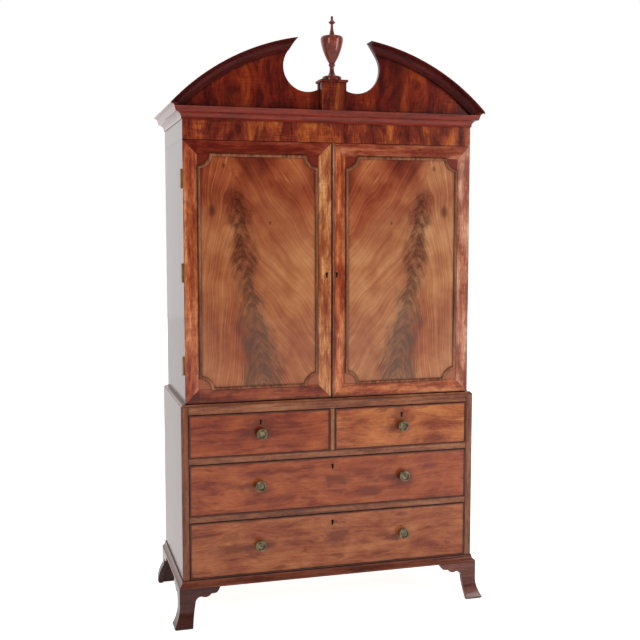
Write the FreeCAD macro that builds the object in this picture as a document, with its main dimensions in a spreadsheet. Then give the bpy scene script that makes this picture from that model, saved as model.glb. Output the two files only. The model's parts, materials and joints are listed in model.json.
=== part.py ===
import FreeCAD, Part
import os
import re
import Sketcher

# Linen press in two stages: a case of four drawers on splayed bracket feet, a cupboard of four
# sliding trays behind two doors, and a loose frieze box with cornice, broken pediment and urn.
# The front faces -Y, +X is to the right, +Z is up, and the origin is on the floor under the middle.

# Driving sizes in millimetres, and a few plain numbers.
SIZES = {
    # lower case
    "LowerWidth": 1250, "CaseDepth": 557, "FootHigh": 157,
    "BoardThick": 20, "BackThick": 12, "FacingWidth": 29, "FacingDepth": 20,
    "RailDepth": 60, "RailHigh": 26, "BottomRailHigh": 32, "TopRailHigh": 34, "MuntinWide": 20,
    "LongLowerHigh": 231, "LongUpperHigh": 211, "ShortHigh": 176,
    "RunnerHigh": 18, "RunnerWide": 40, "DustThick": 6, "GuideHigh": 30,
    "StopHigh": 5, "StopLong": 40, "StopDeep": 16, "StopIn": 120,
    # mouldings round the lower case
    "BaseProjection": 17, "BaseMouldingHigh": 30, "BaseFilletHigh": 7, "BaseTopOut": 4,
    "WaistMouldingHigh": 8, "WaistNose": 6,
    # splayed bracket feet
    "BracketThick": 22, "FootSplay": 24, "SplayHigh": 88, "ToeHigh": 8, "ToeTuck": 5,
    "FootToe": 32, "FootKnee": 47, "KneeHigh": 98, "EarCove": 25, "EarLobe": 39, "LobeHigh": 131,
    "LobeRadius": 29, "EarNotch": 2, "EarStep": 21, "EarTip": 15, "EarRadius": 40,
    "BlockWide": 36,
    # drawers
    "FrontThick": 22, "FrontGap": 1.5, "RunGap": 0.3, "BeadWide": 4, "BeadProud": 2.5,
    "BeadDeep": 10, "BoxSideThick": 11, "BoxBackThick": 10, "BottomThick": 8, "BottomRise": 8,
    "GrooveDeep": 4, "SideDrop": 6, "BackDrop": 4, "DrawerRearGap": 24, "DovetailReach": 11,
    "TailCount": 4, "TailRoot": 0.45, "TailTip": 0.68, "TailLift": 1,
    # brass on the drawers
    "LongKnobAcross": 309.5, "LongKnobRise": 8, "ShortKnobRise": 2, "KnobRadius": 22,
    "KnobProud": 29, "KnobRim": 5, "KnobLip": 1, "KnobDish": 4, "KnobNeck": 8,
    "RoseRadius": 15, "RoseThick": 3, "PostRadius": 3, "PostPlay": 0.2, "PostEnd": 2,
    "NutRadius": 7, "NutThick": 5,
    "KeyholeDrop": 35, "KeyRadius": 4.5, "KeySlot": 2.5, "KeyLong": 14.5, "LinerThick": 1.5,
    "LockWide": 60, "LockHigh": 40, "LockDrop": 5, "BoltWide": 16, "BoltThick": 7,
    "BoltLong": 32, "BoltPlay": 0.3, "BoltThrow": 8, "BoltCover": 2.5,
    # cupboard
    "SideSetback": 20, "FrontSetback": 14, "CarcaseHigh": 1050,
    "BackStile": 70, "BackPanelThick": 6, "BackPanelTongue": 8, "BackPanelPlay": 1,
    "DoorThick": 22, "DoorGap": 0.5, "DoorFootGap": 2, "DoorHeadGap": 1.5, "MeetingGap": 3.5,
    "FrameWide": 56, "PanelThick": 15, "TongueThick": 8, "TongueLong": 8,
    "AstragalSide": 56, "AstragalEnd": 50, "AstragalWide": 13, "AstragalProud": 6,
    "AstragalBevel": 4, "HollowRadius": 49,
    "MeetingBeadWide": 8, "MeetingBeadEdge": 2, "MeetingBeadRadius": 5,
    "HingeOut": 4.2, "HingeHigh": 76, "LeafWide": 18, "LeafThick": 2, "BarrelRadius": 3.6,
    "BarrelGap": 0.3, "PinRadius": 1.5, "PinPlay": 0.06, "HingeFromEnd": 150,
    "LockRise": 511, "DoorKeyIn": 21, "DoorLockWide": 44, "DoorLockHigh": 64,
    "DoorLockDeep": 12, "DoorBoltHigh": 12, "DoorBoltThrow": 9, "DoorBoltSetback": 0.5,
    "FlushBoltIn": 28, "FlushPlateWide": 20, "FlushPlateHigh": 76, "FlushPlateThick": 1.5,
    "FlushEndGap": 6, "FlushRodOff": 4, "FlushRodWide": 6, "FlushRodGap": 4, "FlushThrow": 12,
    "StapleHigh": 8, "StapleWall": 2, "StapleIn": 2, "SocketRoom": 2, "ThumbRadius": 4, "ThumbLong": 5,
    # trays
    "TrayCount": 4, "TrayHigh": 120, "TrayGap": 1.5,
    "TrayFrontThick": 14, "TraySetback": 45, "TrayRearGap": 10, "TrayHorn": 70, "TrayDip": 38,
    "TrayReach": 9, "TrayRunnerWide": 12,
    # frieze, cornice and pediment
    "FriezeHigh": 77, "CorniceHigh": 60, "CorniceProjection": 46, "CorniceFillet": 4,
    "CoveOut": 22, "CoveTop": 27, "FasciaOut": 27, "FasciaLean": 6, "FasciaTop": 48,
    "CymaOut": 43, "CymaTop": 55,
    "PedimentRise": 265, "TipHalf": 152, "TympanumThick": 20, "RakeHigh": 40, "RakeCap": 6,
    "RakeOverrun": 6, "RakeFilletOut": 14, "RakeFilletHigh": 9, "RakeCoveOut": 42, "RakeCoveTop": 33,
    "CutAcross": 103, "CutRise": 159, "CutRadius": 98,
    "PlinthHalf": 51, "PlinthHigh": 98, "PlinthProud": 32, "PlinthBack": 38, "CapHigh": 11,
    "CapOut": 6,
    "UrnSetback": 3, "UrnFootRadius": 39, "UrnFootHigh": 9, "UrnFootRound": 8,
    "UrnFlareRadius": 17, "UrnFlareRise": 21, "UrnFlareArc": 38,
    "UrnStemRadius": 9, "UrnStemRise": 42, "UrnStemTop": 54,
    "UrnBeadRadius": 13, "UrnBeadRise": 59, "UrnBeadTop": 64, "UrnNeckRadius": 11.5, "UrnBodyRise": 68,
    "UrnBellyRadius": 221, "UrnRimRadius": 45.5, "UrnRimRise": 159, "UrnRimTop": 165,
    "UrnLidRadius": 36, "UrnLidRise": 175, "UrnLidArc": 12,
    "SpireRadius": 12, "SpireRise": 180, "SpireArc": 106, "SpireTip": 5, "SpireTop": 249,
    "KnopRadius": 14.5, "KnopRise": 229, "KnopHalf": 9,
    # how far blanks and cutters reach past what they trim
    "MitreReach": 70, "Overcut": 1,
}

# Levels and planes that follow from the driving sizes.
PLACES = {
    "CaseFront": "(BaseProjection + FootSplay - CaseDepth) / 2",
    "CaseBack": "CaseFront + CaseDepth",
    "LowerHalf": "LowerWidth / 2",
    "LowerInside": "LowerHalf - BoardThick",
    "OpeningHalf": "LowerHalf - FacingWidth",
    "LowerBackFace": "CaseBack - BackThick",
    "LowerOpen": "FootHigh + BottomRailHigh",
    "LowerOpenTop": "LowerOpen + LongLowerHigh",
    "UpperOpen": "LowerOpenTop + RailHigh",
    "UpperOpenTop": "UpperOpen + LongUpperHigh",
    "ShortOpen": "UpperOpenTop + RailHigh",
    "ShortOpenTop": "ShortOpen + ShortHigh",
    "WaistHeight": "ShortOpenTop + TopRailHigh",
    "DrawerBack": "LowerBackFace - DrawerRearGap",
    "BracketLong": "FootKnee + EarCove + EarLobe + EarStep + EarTip",
    "BracketInset": "BracketThick - BaseProjection",
    "UpperHalf": "LowerHalf - SideSetback",
    "UpperInside": "UpperHalf - BoardThick",
    "UpperFront": "CaseFront + FrontSetback",
    "DoorBack": "UpperFront + DoorThick",
    "CarcaseFront": "DoorBack + DoorGap",
    "UpperTop": "WaistHeight + CarcaseHigh",
    "FloorTop": "WaistHeight + BoardThick",
    "CeilingUnder": "UpperTop - BoardThick",
    "DoorFoot": "WaistHeight + WaistMouldingHigh + DoorFootGap",
    "DoorHead": "UpperTop - DoorHeadGap",
    "DoorEdge": "MeetingGap / 2",
    "LockLevel": "DoorFoot + LockRise",
    "HingeAcross": "UpperHalf + HingeOut",
    "HingeLine": "DoorBack + DoorGap / 2",
    "TrayFront": "CarcaseFront + TraySetback",
    "TrayBack": "LowerBackFace - TrayRearGap",
    "TrayHalf": "UpperInside - TrayGap",
    "TrayBase": "FloorTop + RunnerHigh + RunGap",
    "TrayPitch": "(CeilingUnder - TrayBase) / TrayCount",
    "FriezeTop": "UpperTop + FriezeHigh",
    "CorniceTop": "FriezeTop + CorniceHigh",
    "PedimentFoot": "FriezeTop + FasciaTop",
    "TipHeight": "CorniceTop + PedimentRise",
    "CorniceHalf": "UpperHalf + CorniceProjection",
    "ArchCentre": "(TipHeight + CorniceTop - (CorniceHalf ^ 2 - TipHalf ^ 2) / PedimentRise) / 2",
    "ArchRadius": "sqrt(TipHalf ^ 2 + (TipHeight - ArchCentre) ^ 2)",
    "BoardRadius": "ArchRadius - RakeCap",
    "BoardShoulder": "ArchCentre + sqrt(BoardRadius ^ 2 - UpperHalf ^ 2)",
    "CutHeight": "CorniceTop + CutRise",
    "CutLow": "CutHeight - sqrt(CutRadius ^ 2 - (CutAcross - PlinthHalf) ^ 2)",
    "TipReach": "sqrt((TipHalf - CutAcross) ^ 2 + (TipHeight - CutHeight) ^ 2)",
    "TangentTurn": "atan((TipHalf - CutAcross) / (TipHeight - CutHeight)) + acos(CutRadius / TipReach)",
    "TangentAcross": "CutAcross + CutRadius * sin(TangentTurn)",
    "TangentHeight": "CutHeight + CutRadius * cos(TangentTurn)",
    "PlinthTop": "CorniceTop + PlinthHigh",
    "CapTop": "PlinthTop + CapHigh",
    "CapHalf": "PlinthHalf + CapOut",
    "UrnAxis": "UpperFront + UrnSetback",
}

doc = FreeCAD.newDocument("LinenPress")
sizes = doc.addObject("Spreadsheet::Sheet", "Sizes")
places = doc.addObject("Spreadsheet::Sheet", "Places")
nodes = []


# ---- formulas, sketches and solids ----

def bound(text):
    """A formula with every name in it led to its sheet."""
    def onSheet(match):
        name = match.group(0)
        return ("Sizes." if name in SIZES else "Places.") + name
    return re.sub(r"\b[A-Z][A-Za-z]+\b", onSheet, str(text))


def number(text):
    return float(places.evalExpression(bound(text)))


def bind(thing, path, text):
    thing.setExpression(path, bound(text))


def fillSheets():
    for row, (name, value) in enumerate(SIZES.items(), 1):
        sizes.set(f"A{row}", name)
        sizes.set(f"B{row}", str(value))
        sizes.setAlias(f"B{row}", name)
    for row, (name, formula) in enumerate(PLACES.items(), 1):
        places.set(f"A{row}", name)
        places.set(f"B{row}", "=" + bound(formula))
        places.setAlias(f"B{row}", name)
    doc.recompute()


def board(name, across, deep, high):
    """A squared board between two planes on each axis."""
    box = doc.addObject("Part::Box", name)
    for axis, side, (low, top) in zip("xyz", ("Length", "Width", "Height"), (across, deep, high)):
        bind(box, "Placement.Base." + axis, low)
        bind(box, side, f"({top}) - ({low})")
    return box


def addLoop(sketch, points, arcs):
    """A closed loop held by bound coordinates. An arc (radius, side) bulges left (1) or right (-1).

    A sketch keeps its arcs anticlockwise, so one that bulges left is laid from its end to its start.
    """
    first = sketch.GeometryCount
    corners = [FreeCAD.Vector(number(across), number(up), 0) for across, up in points]
    count = len(corners)
    edges = []
    for index, start in enumerate(corners):
        end = corners[(index + 1) % count]
        if index in arcs:
            radius, side = number(arcs[index][0]), arcs[index][1]
            chord = end - start
            rise = radius - (radius ** 2 - chord.Length ** 2 / 4) ** 0.5
            crown = FreeCAD.Vector(-chord.y, chord.x, 0).normalize() * side * rise
            ends = (start, end) if side == -1 else (end, start)
            edges.append(Part.Arc(ends[0], (start + end) * 0.5 + crown, ends[1]))
        else:
            edges.append(Part.LineSegment(start, end))
    sketch.addGeometry(edges, False)

    def vertex(index, corner):
        near = (sketch.Geometry[first + index].StartPoint - corners[corner % count]).Length < 1e-6
        return 1 if near else 2

    constraints = []
    formulas = []
    for index in range(count):
        edge, following = first + index, first + (index + 1) % count
        constraints.append(Sketcher.Constraint(
            "Coincident", edge, vertex(index, index + 1),
            following, vertex((index + 1) % count, index + 1)))
        formulas.append(None)
        for kind, formula, place in (("DistanceX", points[index][0], corners[index].x),
                                     ("DistanceY", points[index][1], corners[index].y)):
            constraints.append(Sketcher.Constraint(kind, -1, 1, edge, vertex(index, index), place))
            formulas.append(formula)
        if index in arcs:
            constraints.append(Sketcher.Constraint("Radius", edge, number(arcs[index][0])))
            formulas.append(arcs[index][0])
    start = sketch.ConstraintCount
    sketch.addConstraint(constraints)
    for offset, formula in enumerate(formulas):
        if formula is not None:
            bind(sketch, f"Constraints[{start + offset}]", formula)


def profile(body, role, *loops):
    """A sketch on one of the body's own planes. A loop is its points and its arcs by edge number."""
    sketch = body.newObject("Sketcher::SketchObject", body.Name + "Sketch")
    plane = [item for item in body.Origin.OriginFeatures if item.Role == role][0]
    sketch.AttachmentSupport = [(plane, "")]
    sketch.MapMode = "FlatFace"
    for points, arcs in loops:
        addLoop(sketch, points, arcs)
    return sketch


def prism(name, role, low, high, *loops):
    """A pad between two levels on the axis square to the sketch plane."""
    body = doc.addObject("PartDesign::Body", name)
    pad = body.newObject("PartDesign::Pad", name + "Pad")
    pad.Profile = profile(body, role, *loops)
    bind(pad, "Length", f"({high}) - ({low})")
    # a pad on the XZ plane grows towards -Y, so its body stands at the high level
    axis, start = {"XY_Plane": ("z", low), "XZ_Plane": ("y", high), "YZ_Plane": ("x", low)}[role]
    bind(body, "Placement.Base." + axis, start)
    return body


def turned(name, points, arcs, across, deep, high):
    """A piece turned about an upright axis, from a half profile of (radius, height)."""
    body = doc.addObject("PartDesign::Body", name)
    turn = body.newObject("PartDesign::Revolution", name + "Turn")
    turn.Profile = profile(body, "XZ_Plane", (points, arcs))
    turn.ReferenceAxis = (turn.Profile[0], ["V_Axis"])
    turn.Angle = 360
    for axis, place in zip("xyz", (across, deep, high)):
        bind(body, "Placement.Base." + axis, place)
    return body


def cylinder(name, radius, length, across, deep, high, direction="z"):
    rod = doc.addObject("Part::Cylinder", name)
    bind(rod, "Radius", radius)
    bind(rod, "Height", length)
    if direction == "y":
        rod.Placement.Rotation = FreeCAD.Rotation(FreeCAD.Vector(1, 0, 0), -90)
    for axis, place in zip("xyz", (across, deep, high)):
        bind(rod, "Placement.Base." + axis, place)
    return rod


def group(name, pieces):
    compound = doc.addObject("Part::Compound", name)
    compound.Links = pieces
    return compound


def cut(name, base, tool):
    result = doc.addObject("Part::Cut", name)
    result.Base = base
    result.Tool = group(name + "Tools", tool) if isinstance(tool, list) else tool
    return result


def fuse(name, pieces):
    result = doc.addObject("Part::MultiFuse", name)
    result.Shapes = pieces
    return result


def common(name, pieces):
    result = doc.addObject("Part::MultiCommon", name)
    result.Shapes = pieces
    return result


def mirrored(name, source, normal=(1, 0, 0), **base):
    """The image of a piece in a plane through a point, which is the origin unless given."""
    image = doc.addObject("Part::Mirroring", name)
    image.Source = source
    image.Normal = FreeCAD.Vector(*normal)
    for axis, place in base.items():
        bind(image, "Base." + axis, place)
    return image


def node(label, *pieces):
    """One named sub-part, of one or more separate solids."""
    thing = pieces[0] if len(pieces) == 1 else group(label + "_group", list(pieces))
    thing.Label = label
    nodes.append(thing)
    return thing


def reach(side, inner, outer):
    """Low and high x between two distances from the middle, on the left or the right."""
    return (f"-({outer})", f"-({inner})") if side == "left" else (inner, outer)


SIDES = ("left", "right")


# ---- mouldings ----

def mitred(label, frontProfile, sideProfile, frontPlan, sidePlan, low, high):
    """A moulding run along the front and both sides, each piece mitred at the front corners."""
    front = prism(label + "Front", "YZ_Plane", "-LowerHalf - MitreReach",
                  "LowerHalf + MitreReach", frontProfile)
    side = prism(label + "Side", "XZ_Plane", "CaseFront - MitreReach", "CaseBack", sideProfile)
    frontPlot = prism(label + "FrontPlot", "XY_Plane", low, high, (frontPlan, {}))
    sidePlot = prism(label + "SidePlot", "XY_Plane", low, high, (sidePlan, {}))
    frontPiece = common(label + "FrontPiece", [front, frontPlot])
    leftPiece = common(label + "LeftPiece", [side, sidePlot])
    node(label, frontPiece, leftPiece, mirrored(label + "RightPiece", leftPiece))


def outward(points, face, sign):
    """Profile points given as (distance out, level), set against a face."""
    return [(f"{face} {sign} ({out})", level) for out, level in points]


def mitrePlans(half, front):
    """Plan outlines that part a front run from its left return on the 45 degree line."""
    outer = (f"-{half} - MitreReach", f"{front} - MitreReach")
    inner = (f"-{half} + MitreReach", f"{front} + MitreReach")
    frontPlan = [outer, (f"{half} + MitreReach", outer[1]), (f"{half} - MitreReach", inner[1]), inner]
    sidePlan = [outer, inner, (inner[0], "CaseBack"), (outer[0], "CaseBack")]
    return frontPlan, sidePlan


def baseMoulding():
    top = "FootHigh + BaseMouldingHigh"
    shoulder = f"{top} - BaseTopOut"
    section = [("0", "FootHigh"), ("BaseProjection", "FootHigh"),
               ("BaseProjection", "FootHigh + BaseFilletHigh"),
               ("BaseTopOut", shoulder), ("BaseTopOut", top), ("0", top)]
    arcs = {2: ("BaseMouldingHigh - BaseFilletHigh", -1)}
    front, side = mitrePlans("LowerHalf", "CaseFront")
    mitred("base_moulding", (outward(section, "CaseFront", "-"), arcs),
           (outward(section, "-LowerHalf", "-"), arcs), front, side,
           "FootHigh - Overcut", f"{top} + Overcut")


def waistMoulding():
    top = "WaistHeight + WaistMouldingHigh"
    edge = "WaistMouldingHigh - WaistNose"

    def section(inner):
        return [(f"-({inner})", "WaistHeight"), ("0", "WaistHeight"), ("0", f"WaistHeight + {edge}"),
                ("-WaistNose", top), (f"-({inner})", top)]
    arcs = {2: ("WaistNose", -1)}
    frontPlan = [("-LowerHalf", "CaseFront"), ("LowerHalf", "CaseFront"),
                 ("LowerHalf - SideSetback", "CaseFront + SideSetback"),
                 ("LowerHalf - SideSetback", "DoorBack"), ("-LowerHalf + SideSetback", "DoorBack"),
                 ("-LowerHalf + SideSetback", "CaseFront + SideSetback")]
    sidePlan = [("-LowerHalf", "CaseFront"), ("-LowerHalf + SideSetback", "CaseFront + SideSetback"),
                ("-LowerHalf + SideSetback", "CaseBack"), ("-LowerHalf", "CaseBack")]
    mitred("waist_moulding",
           (outward(section("FrontSetback + DoorThick"), "CaseFront", "-"), arcs),
           (outward(section("SideSetback"), "-LowerHalf", "-"), arcs), frontPlan, sidePlan,
           "WaistHeight - Overcut", f"{top} + Overcut")


def cornice():
    """Lip, cove and leaning fascia all round; only the returns carry the cyma and top fillet."""
    fascia = [("0", "FriezeTop"), ("CorniceFillet", "FriezeTop"),
              ("CorniceFillet", "FriezeTop + CorniceFillet"), ("CoveOut", "FriezeTop + CoveTop"),
              ("FasciaOut", "FriezeTop + CoveTop"), ("FasciaOut + FasciaLean", "PedimentFoot")]
    front = fascia + [("0", "PedimentFoot")]
    returns = fascia + [("CymaOut", "FriezeTop + CymaTop"), ("CorniceProjection", "FriezeTop + CymaTop"),
                        ("CorniceProjection", "CorniceTop"), ("0", "CorniceTop")]
    coveArc = ("CoveTop - CorniceFillet", -1)
    frontPlan, sidePlan = mitrePlans("UpperHalf", "UpperFront")
    mitred("cornice_moulding", (outward(front, "UpperFront", "-"), {2: coveArc}),
           (outward(returns, "-UpperHalf", "-"), {2: coveArc, 5: ("CymaOut - FasciaOut", -1)}),
           frontPlan, sidePlan, "FriezeTop - Overcut", "CorniceTop + Overcut")


# ---- feet ----

def splaySection(face, sign, grow):
    """A bracket's section: upright above, flaring outwards to the toe, with its arcs turned by grow."""
    def out(distance):
        return f"{face} {sign} ({distance})"
    points = [(out("BaseProjection"), "FootHigh"), (out("BaseProjection"), "SplayHigh"),
              (out("BaseProjection + FootSplay"), "ToeHigh"),
              (out("BaseProjection + FootSplay - ToeTuck"), "0"),
              (out("FootSplay - BracketInset"), "0"), (out("FootSplay - BracketInset"), "ToeHigh"),
              (out("-BracketInset"), "SplayHigh"), (out("-BracketInset"), "FootHigh")]
    rise = "((SplayHigh - ToeHigh) ^ 2 + FootSplay ^ 2) / (2 * FootSplay)"
    arcs = {1: (rise, grow), 5: (rise, -grow)}
    return points, arcs


def footElevation(face, sign):
    """Bracket outline: leg, cove, lobe, step and tip. Face is the case's outer plane."""
    def inward(distance):
        return f"{face} {sign} ({distance})"
    corner = "-BaseProjection - FootSplay - Overcut"
    cove = "FootKnee + EarCove"
    lobe = f"{cove} + EarLobe"
    step = f"{lobe} + EarStep"
    points = [(inward(corner), "FootHigh"), (inward(corner), "0"), (inward("FootToe"), "0"),
              (inward("FootKnee"), "KneeHigh"), (inward(cove), "KneeHigh + EarCove"),
              (inward(lobe), "LobeHigh"), (inward(step), "LobeHigh + EarNotch"),
              (inward(f"{step} + EarTip"), "FootHigh")]
    side = 1 if sign == "+" else -1
    arcs = {3: ("EarCove", side), 4: ("LobeRadius", -side), 6: ("EarRadius", -side)}
    return points, arcs


def feet():
    """Each bracket is an outline within a section; the front pair meets on the mitre."""
    elevation = prism("footElevation", "XZ_Plane", "CaseFront - MitreReach", "CaseFront + MitreReach",
                      footElevation("-LowerHalf", "+"))
    section = prism("footSection", "YZ_Plane", "-LowerHalf - MitreReach",
                    "-LowerHalf + BracketLong + Overcut",
                    splaySection("CaseFront", "-", 1))
    wedge = prism("footWedge", "XY_Plane", "0", "FootHigh",
                  ([("-LowerHalf - MitreReach", "CaseFront - MitreReach"),
                    ("-LowerHalf + BracketLong + Overcut", "CaseFront - MitreReach"),
                    ("-LowerHalf + BracketLong + Overcut", "CaseFront + MitreReach"),
                    ("-LowerHalf + MitreReach", "CaseFront + MitreReach")], {}))
    frontBracket = common("footFrontBracket", [elevation, section, wedge])
    sideBracket = mirrored("footSideBracket", frontBracket, (1, -1, 0), x="-LowerHalf", y="CaseFront")
    rearElevation = prism("footRearElevation", "YZ_Plane", "-LowerHalf - MitreReach",
                          "-LowerHalf + MitreReach", footElevation("CaseBack", "-"))
    rearSection = prism("footRearSection", "XZ_Plane", "CaseBack - BracketLong - Overcut", "CaseBack",
                        splaySection("-LowerHalf", "-", -1))
    rearSide = common("footRearSide", [rearElevation, rearSection])
    backElevation = prism("footBackElevation", "XZ_Plane", "CaseBack - BoardThick", "CaseBack",
                          footElevation("-LowerHalf", "+"))
    inside, insideArcs = splaySection("-LowerHalf", "-", -1)
    inner = inside[4:]
    innerArcs = {1: insideArcs[5]}
    beyond = "-LowerHalf + BracketLong + Overcut"
    inner += [(beyond, "FootHigh"), (beyond, "0")]
    innerPlot = prism("footInnerPlot", "XZ_Plane", "CaseBack - BoardThick", "CaseBack",
                      (inner, innerArcs))
    backBracket = common("footBackBracket", [backElevation, innerPlot])
    node("foot_front_left", frontBracket, sideBracket)
    node("foot_front_right", mirrored("footFrontBracketRight", frontBracket),
         mirrored("footSideBracketRight", sideBracket))
    node("foot_rear_left", rearSide, backBracket)
    node("foot_rear_right", mirrored("footRearSideRight", rearSide),
         mirrored("footBackBracketRight", backBracket))
    blocks = []
    outer = "LowerHalf - BracketInset"
    for side in SIDES:
        across = reach(side, f"{outer} - BlockWide", outer)
        blocks.append(board("footBlockFront", across,
                            ("CaseFront + BracketInset", "CaseFront + BracketInset + BlockWide"),
                            ("KneeHigh", "FootHigh")))
        blocks.append(board("footBlockRear", across,
                            ("CaseBack - BoardThick - BlockWide", "CaseBack - BoardThick"),
                            ("KneeHigh", "FootHigh")))
    node("foot_blocks", *blocks)


# ---- keyholes and locks ----

def keyLoop(across, level, grow):
    """A keyhole: a round head over a narrower slot, each grown by a margin."""
    radius, slot = f"(KeyRadius + {grow})", f"(KeySlot + {grow})"
    shoulder = f"{level} - sqrt({radius} ^ 2 - {slot} ^ 2)"
    points = [(f"{across} - {slot}", f"{level} - KeyLong - {grow}"),
              (f"{across} + {slot}", f"{level} - KeyLong - {grow}"),
              (f"{across} + {slot}", shoulder), (across, f"{level} + {radius}"),
              (f"{across} - {slot}", shoulder)]
    return points, {2: (radius, -1), 3: (radius, -1)}


def keyhole(name, across, level, front, back):
    """The brass liner of a keyhole and the plug that clears its seat."""
    liner = prism(name + "Liner", "XZ_Plane", front, back, keyLoop(across, level, "LinerThick"),
                  keyLoop(across, level, "0"))
    seat = prism(name + "Seat", "XZ_Plane", front, back, keyLoop(across, level, "LinerThick"))
    return liner, seat


# ---- lower case ----

def lowerCase():
    behind = "CaseFront + FacingDepth"
    for side in SIDES:
        node(f"lower_side_{side}",
             board("lowerSide", reach(side, "LowerInside", "LowerHalf"),
                   (behind, "CaseBack"), ("FootHigh", "WaistHeight")),
             board("lowerFacing", reach(side, "OpeningHalf", "LowerHalf"),
                   ("CaseFront", behind), ("FootHigh", "WaistHeight")))
    node("lower_top_board", board("lowerTop", ("-LowerInside", "LowerInside"),
                                  ("CaseFront + FrontThick", "LowerBackFace"),
                                  ("WaistHeight - BoardThick", "WaistHeight")))
    node("lower_bottom_board", board("lowerBottom", ("-LowerInside", "LowerInside"),
                                     (behind, "LowerBackFace"),
                                     ("LowerOpen - BoardThick", "LowerOpen")))
    thirds = [f"LowerInside * {share} / 3" for share in (-3, -1, 1, 3)]
    node("lower_back", *[board("lowerBack", (f"{low} + RunGap / 2", f"{high} - RunGap / 2"),
                               ("LowerBackFace", "CaseBack"), ("FootHigh", "WaistHeight"))
                         for low, high in zip(thirds, thirds[1:])])


def mortise(name, across, top):
    """Room for a drawer's lock bolt in the underside of the rail above it."""
    back = "CaseFront + FrontThick - BoltCover"
    return board(name, (f"{across} - BoltWide / 2 - BoltPlay", f"{across} + BoltWide / 2 + BoltPlay"),
                 (f"{back} - BoltThick - BoltPlay", f"{back} + BoltPlay"), (top, f"{top} + BoltThrow"))


def dividers():
    """Rails, centre muntin with its guide, and the stops that the drawer fronts close against."""
    wide = ("-OpeningHalf", "OpeningHalf")
    rail = ("CaseFront", "CaseFront + RailDepth")
    shortMiddle = "(OpeningHalf + MuntinWide / 2) / 2"
    muntin = ("-MuntinWide / 2", "MuntinWide / 2")
    pieces = [board("bottomRail", wide, ("CaseFront", "CaseFront + FacingDepth"),
                    ("FootHigh", "LowerOpen")),
              cut("lowerRail", board("lowerRailBoard", wide, rail, ("LowerOpenTop", "UpperOpen")),
                  mortise("lowerRailMortise", "0", "LowerOpenTop")),
              cut("upperRail", board("upperRailBoard", wide, rail, ("UpperOpenTop", "ShortOpen")),
                  mortise("upperRailMortise", "0", "UpperOpenTop")),
              cut("topRail", board("topRailBoard", wide, ("CaseFront", "CaseFront + FrontThick"),
                                   ("ShortOpenTop", "WaistHeight")),
                  [mortise("topRailMortiseLeft", f"-{shortMiddle}", "ShortOpenTop"),
                   mortise("topRailMortiseRight", shortMiddle, "ShortOpenTop")]),
              board("muntin", muntin, rail, ("ShortOpen", "ShortOpenTop")),
              board("muntinGuide", muntin, ("CaseFront + RailDepth", "LowerBackFace"),
                    ("ShortOpen", "WaistHeight - BoardThick"))]
    stopDeep = ("CaseFront + FrontThick + RunGap", "CaseFront + FrontThick + RunGap + StopDeep")
    levels = (("LowerOpen", "0"), ("UpperOpen", "0"), ("ShortOpen", "MuntinWide / 2"))
    for level, inner in levels:
        for side in SIDES:
            across = reach(side, f"{inner} + StopIn", f"{inner} + StopIn + StopLong")
            pieces.append(board("drawerStop", across, stopDeep, (level, f"{level} + StopHigh")))
    node("drawer_dividers", *pieces)


def runners():
    """Bearers level with the rails, guides beside the openings, and dustboards between."""
    pieces = []
    behindRail = ("CaseFront + RailDepth", "LowerBackFace")
    for level in ("UpperOpen", "ShortOpen"):
        for side in SIDES:
            pieces.append(board("runner", reach(side, "LowerInside - RunnerWide", "LowerInside"),
                                behindRail, (f"{level} - RunnerHigh", level)))
        dust = f"{level} - RunnerHigh / 2 - DustThick / 2"
        halves = [("-LowerInside + RunnerWide", "LowerInside - RunnerWide")]
        if level == "ShortOpen":
            pieces.append(board("centreRunner", ("-RunnerWide", "RunnerWide"), behindRail,
                                (f"{level} - RunnerHigh", level)))
            halves = [("-LowerInside + RunnerWide", "-RunnerWide"),
                      ("RunnerWide", "LowerInside - RunnerWide")]
        for across in halves:
            pieces.append(board("dustboard", across, behindRail, (dust, f"{dust} + DustThick")))
    for level in ("LowerOpen", "UpperOpen", "ShortOpen"):
        for side in SIDES:
            pieces.append(board("guide", reach(side, "OpeningHalf", "LowerInside"),
                                ("CaseFront + RailDepth", "LowerBackFace"),
                                (level, f"{level} + GuideHigh")))
    node("drawer_runners", *pieces)


# ---- dovetailed boxes ----

def tailCorners(shoulder, tip, low, high, tails):
    """Corners of the tails along one upright end, from the lowest up."""
    pitch = f"(({high}) - ({low})) / {tails}"
    corners = []
    for place in range(tails):
        middle = f"{low} + {place + 0.5} * {pitch}"
        corners += [(shoulder, f"{middle} - TailRoot / 2 * {pitch}"),
                    (tip, f"{middle} - TailTip / 2 * {pitch}"),
                    (tip, f"{middle} + TailTip / 2 * {pitch}"),
                    (shoulder, f"{middle} + TailRoot / 2 * {pitch}")]
    return corners


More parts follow.
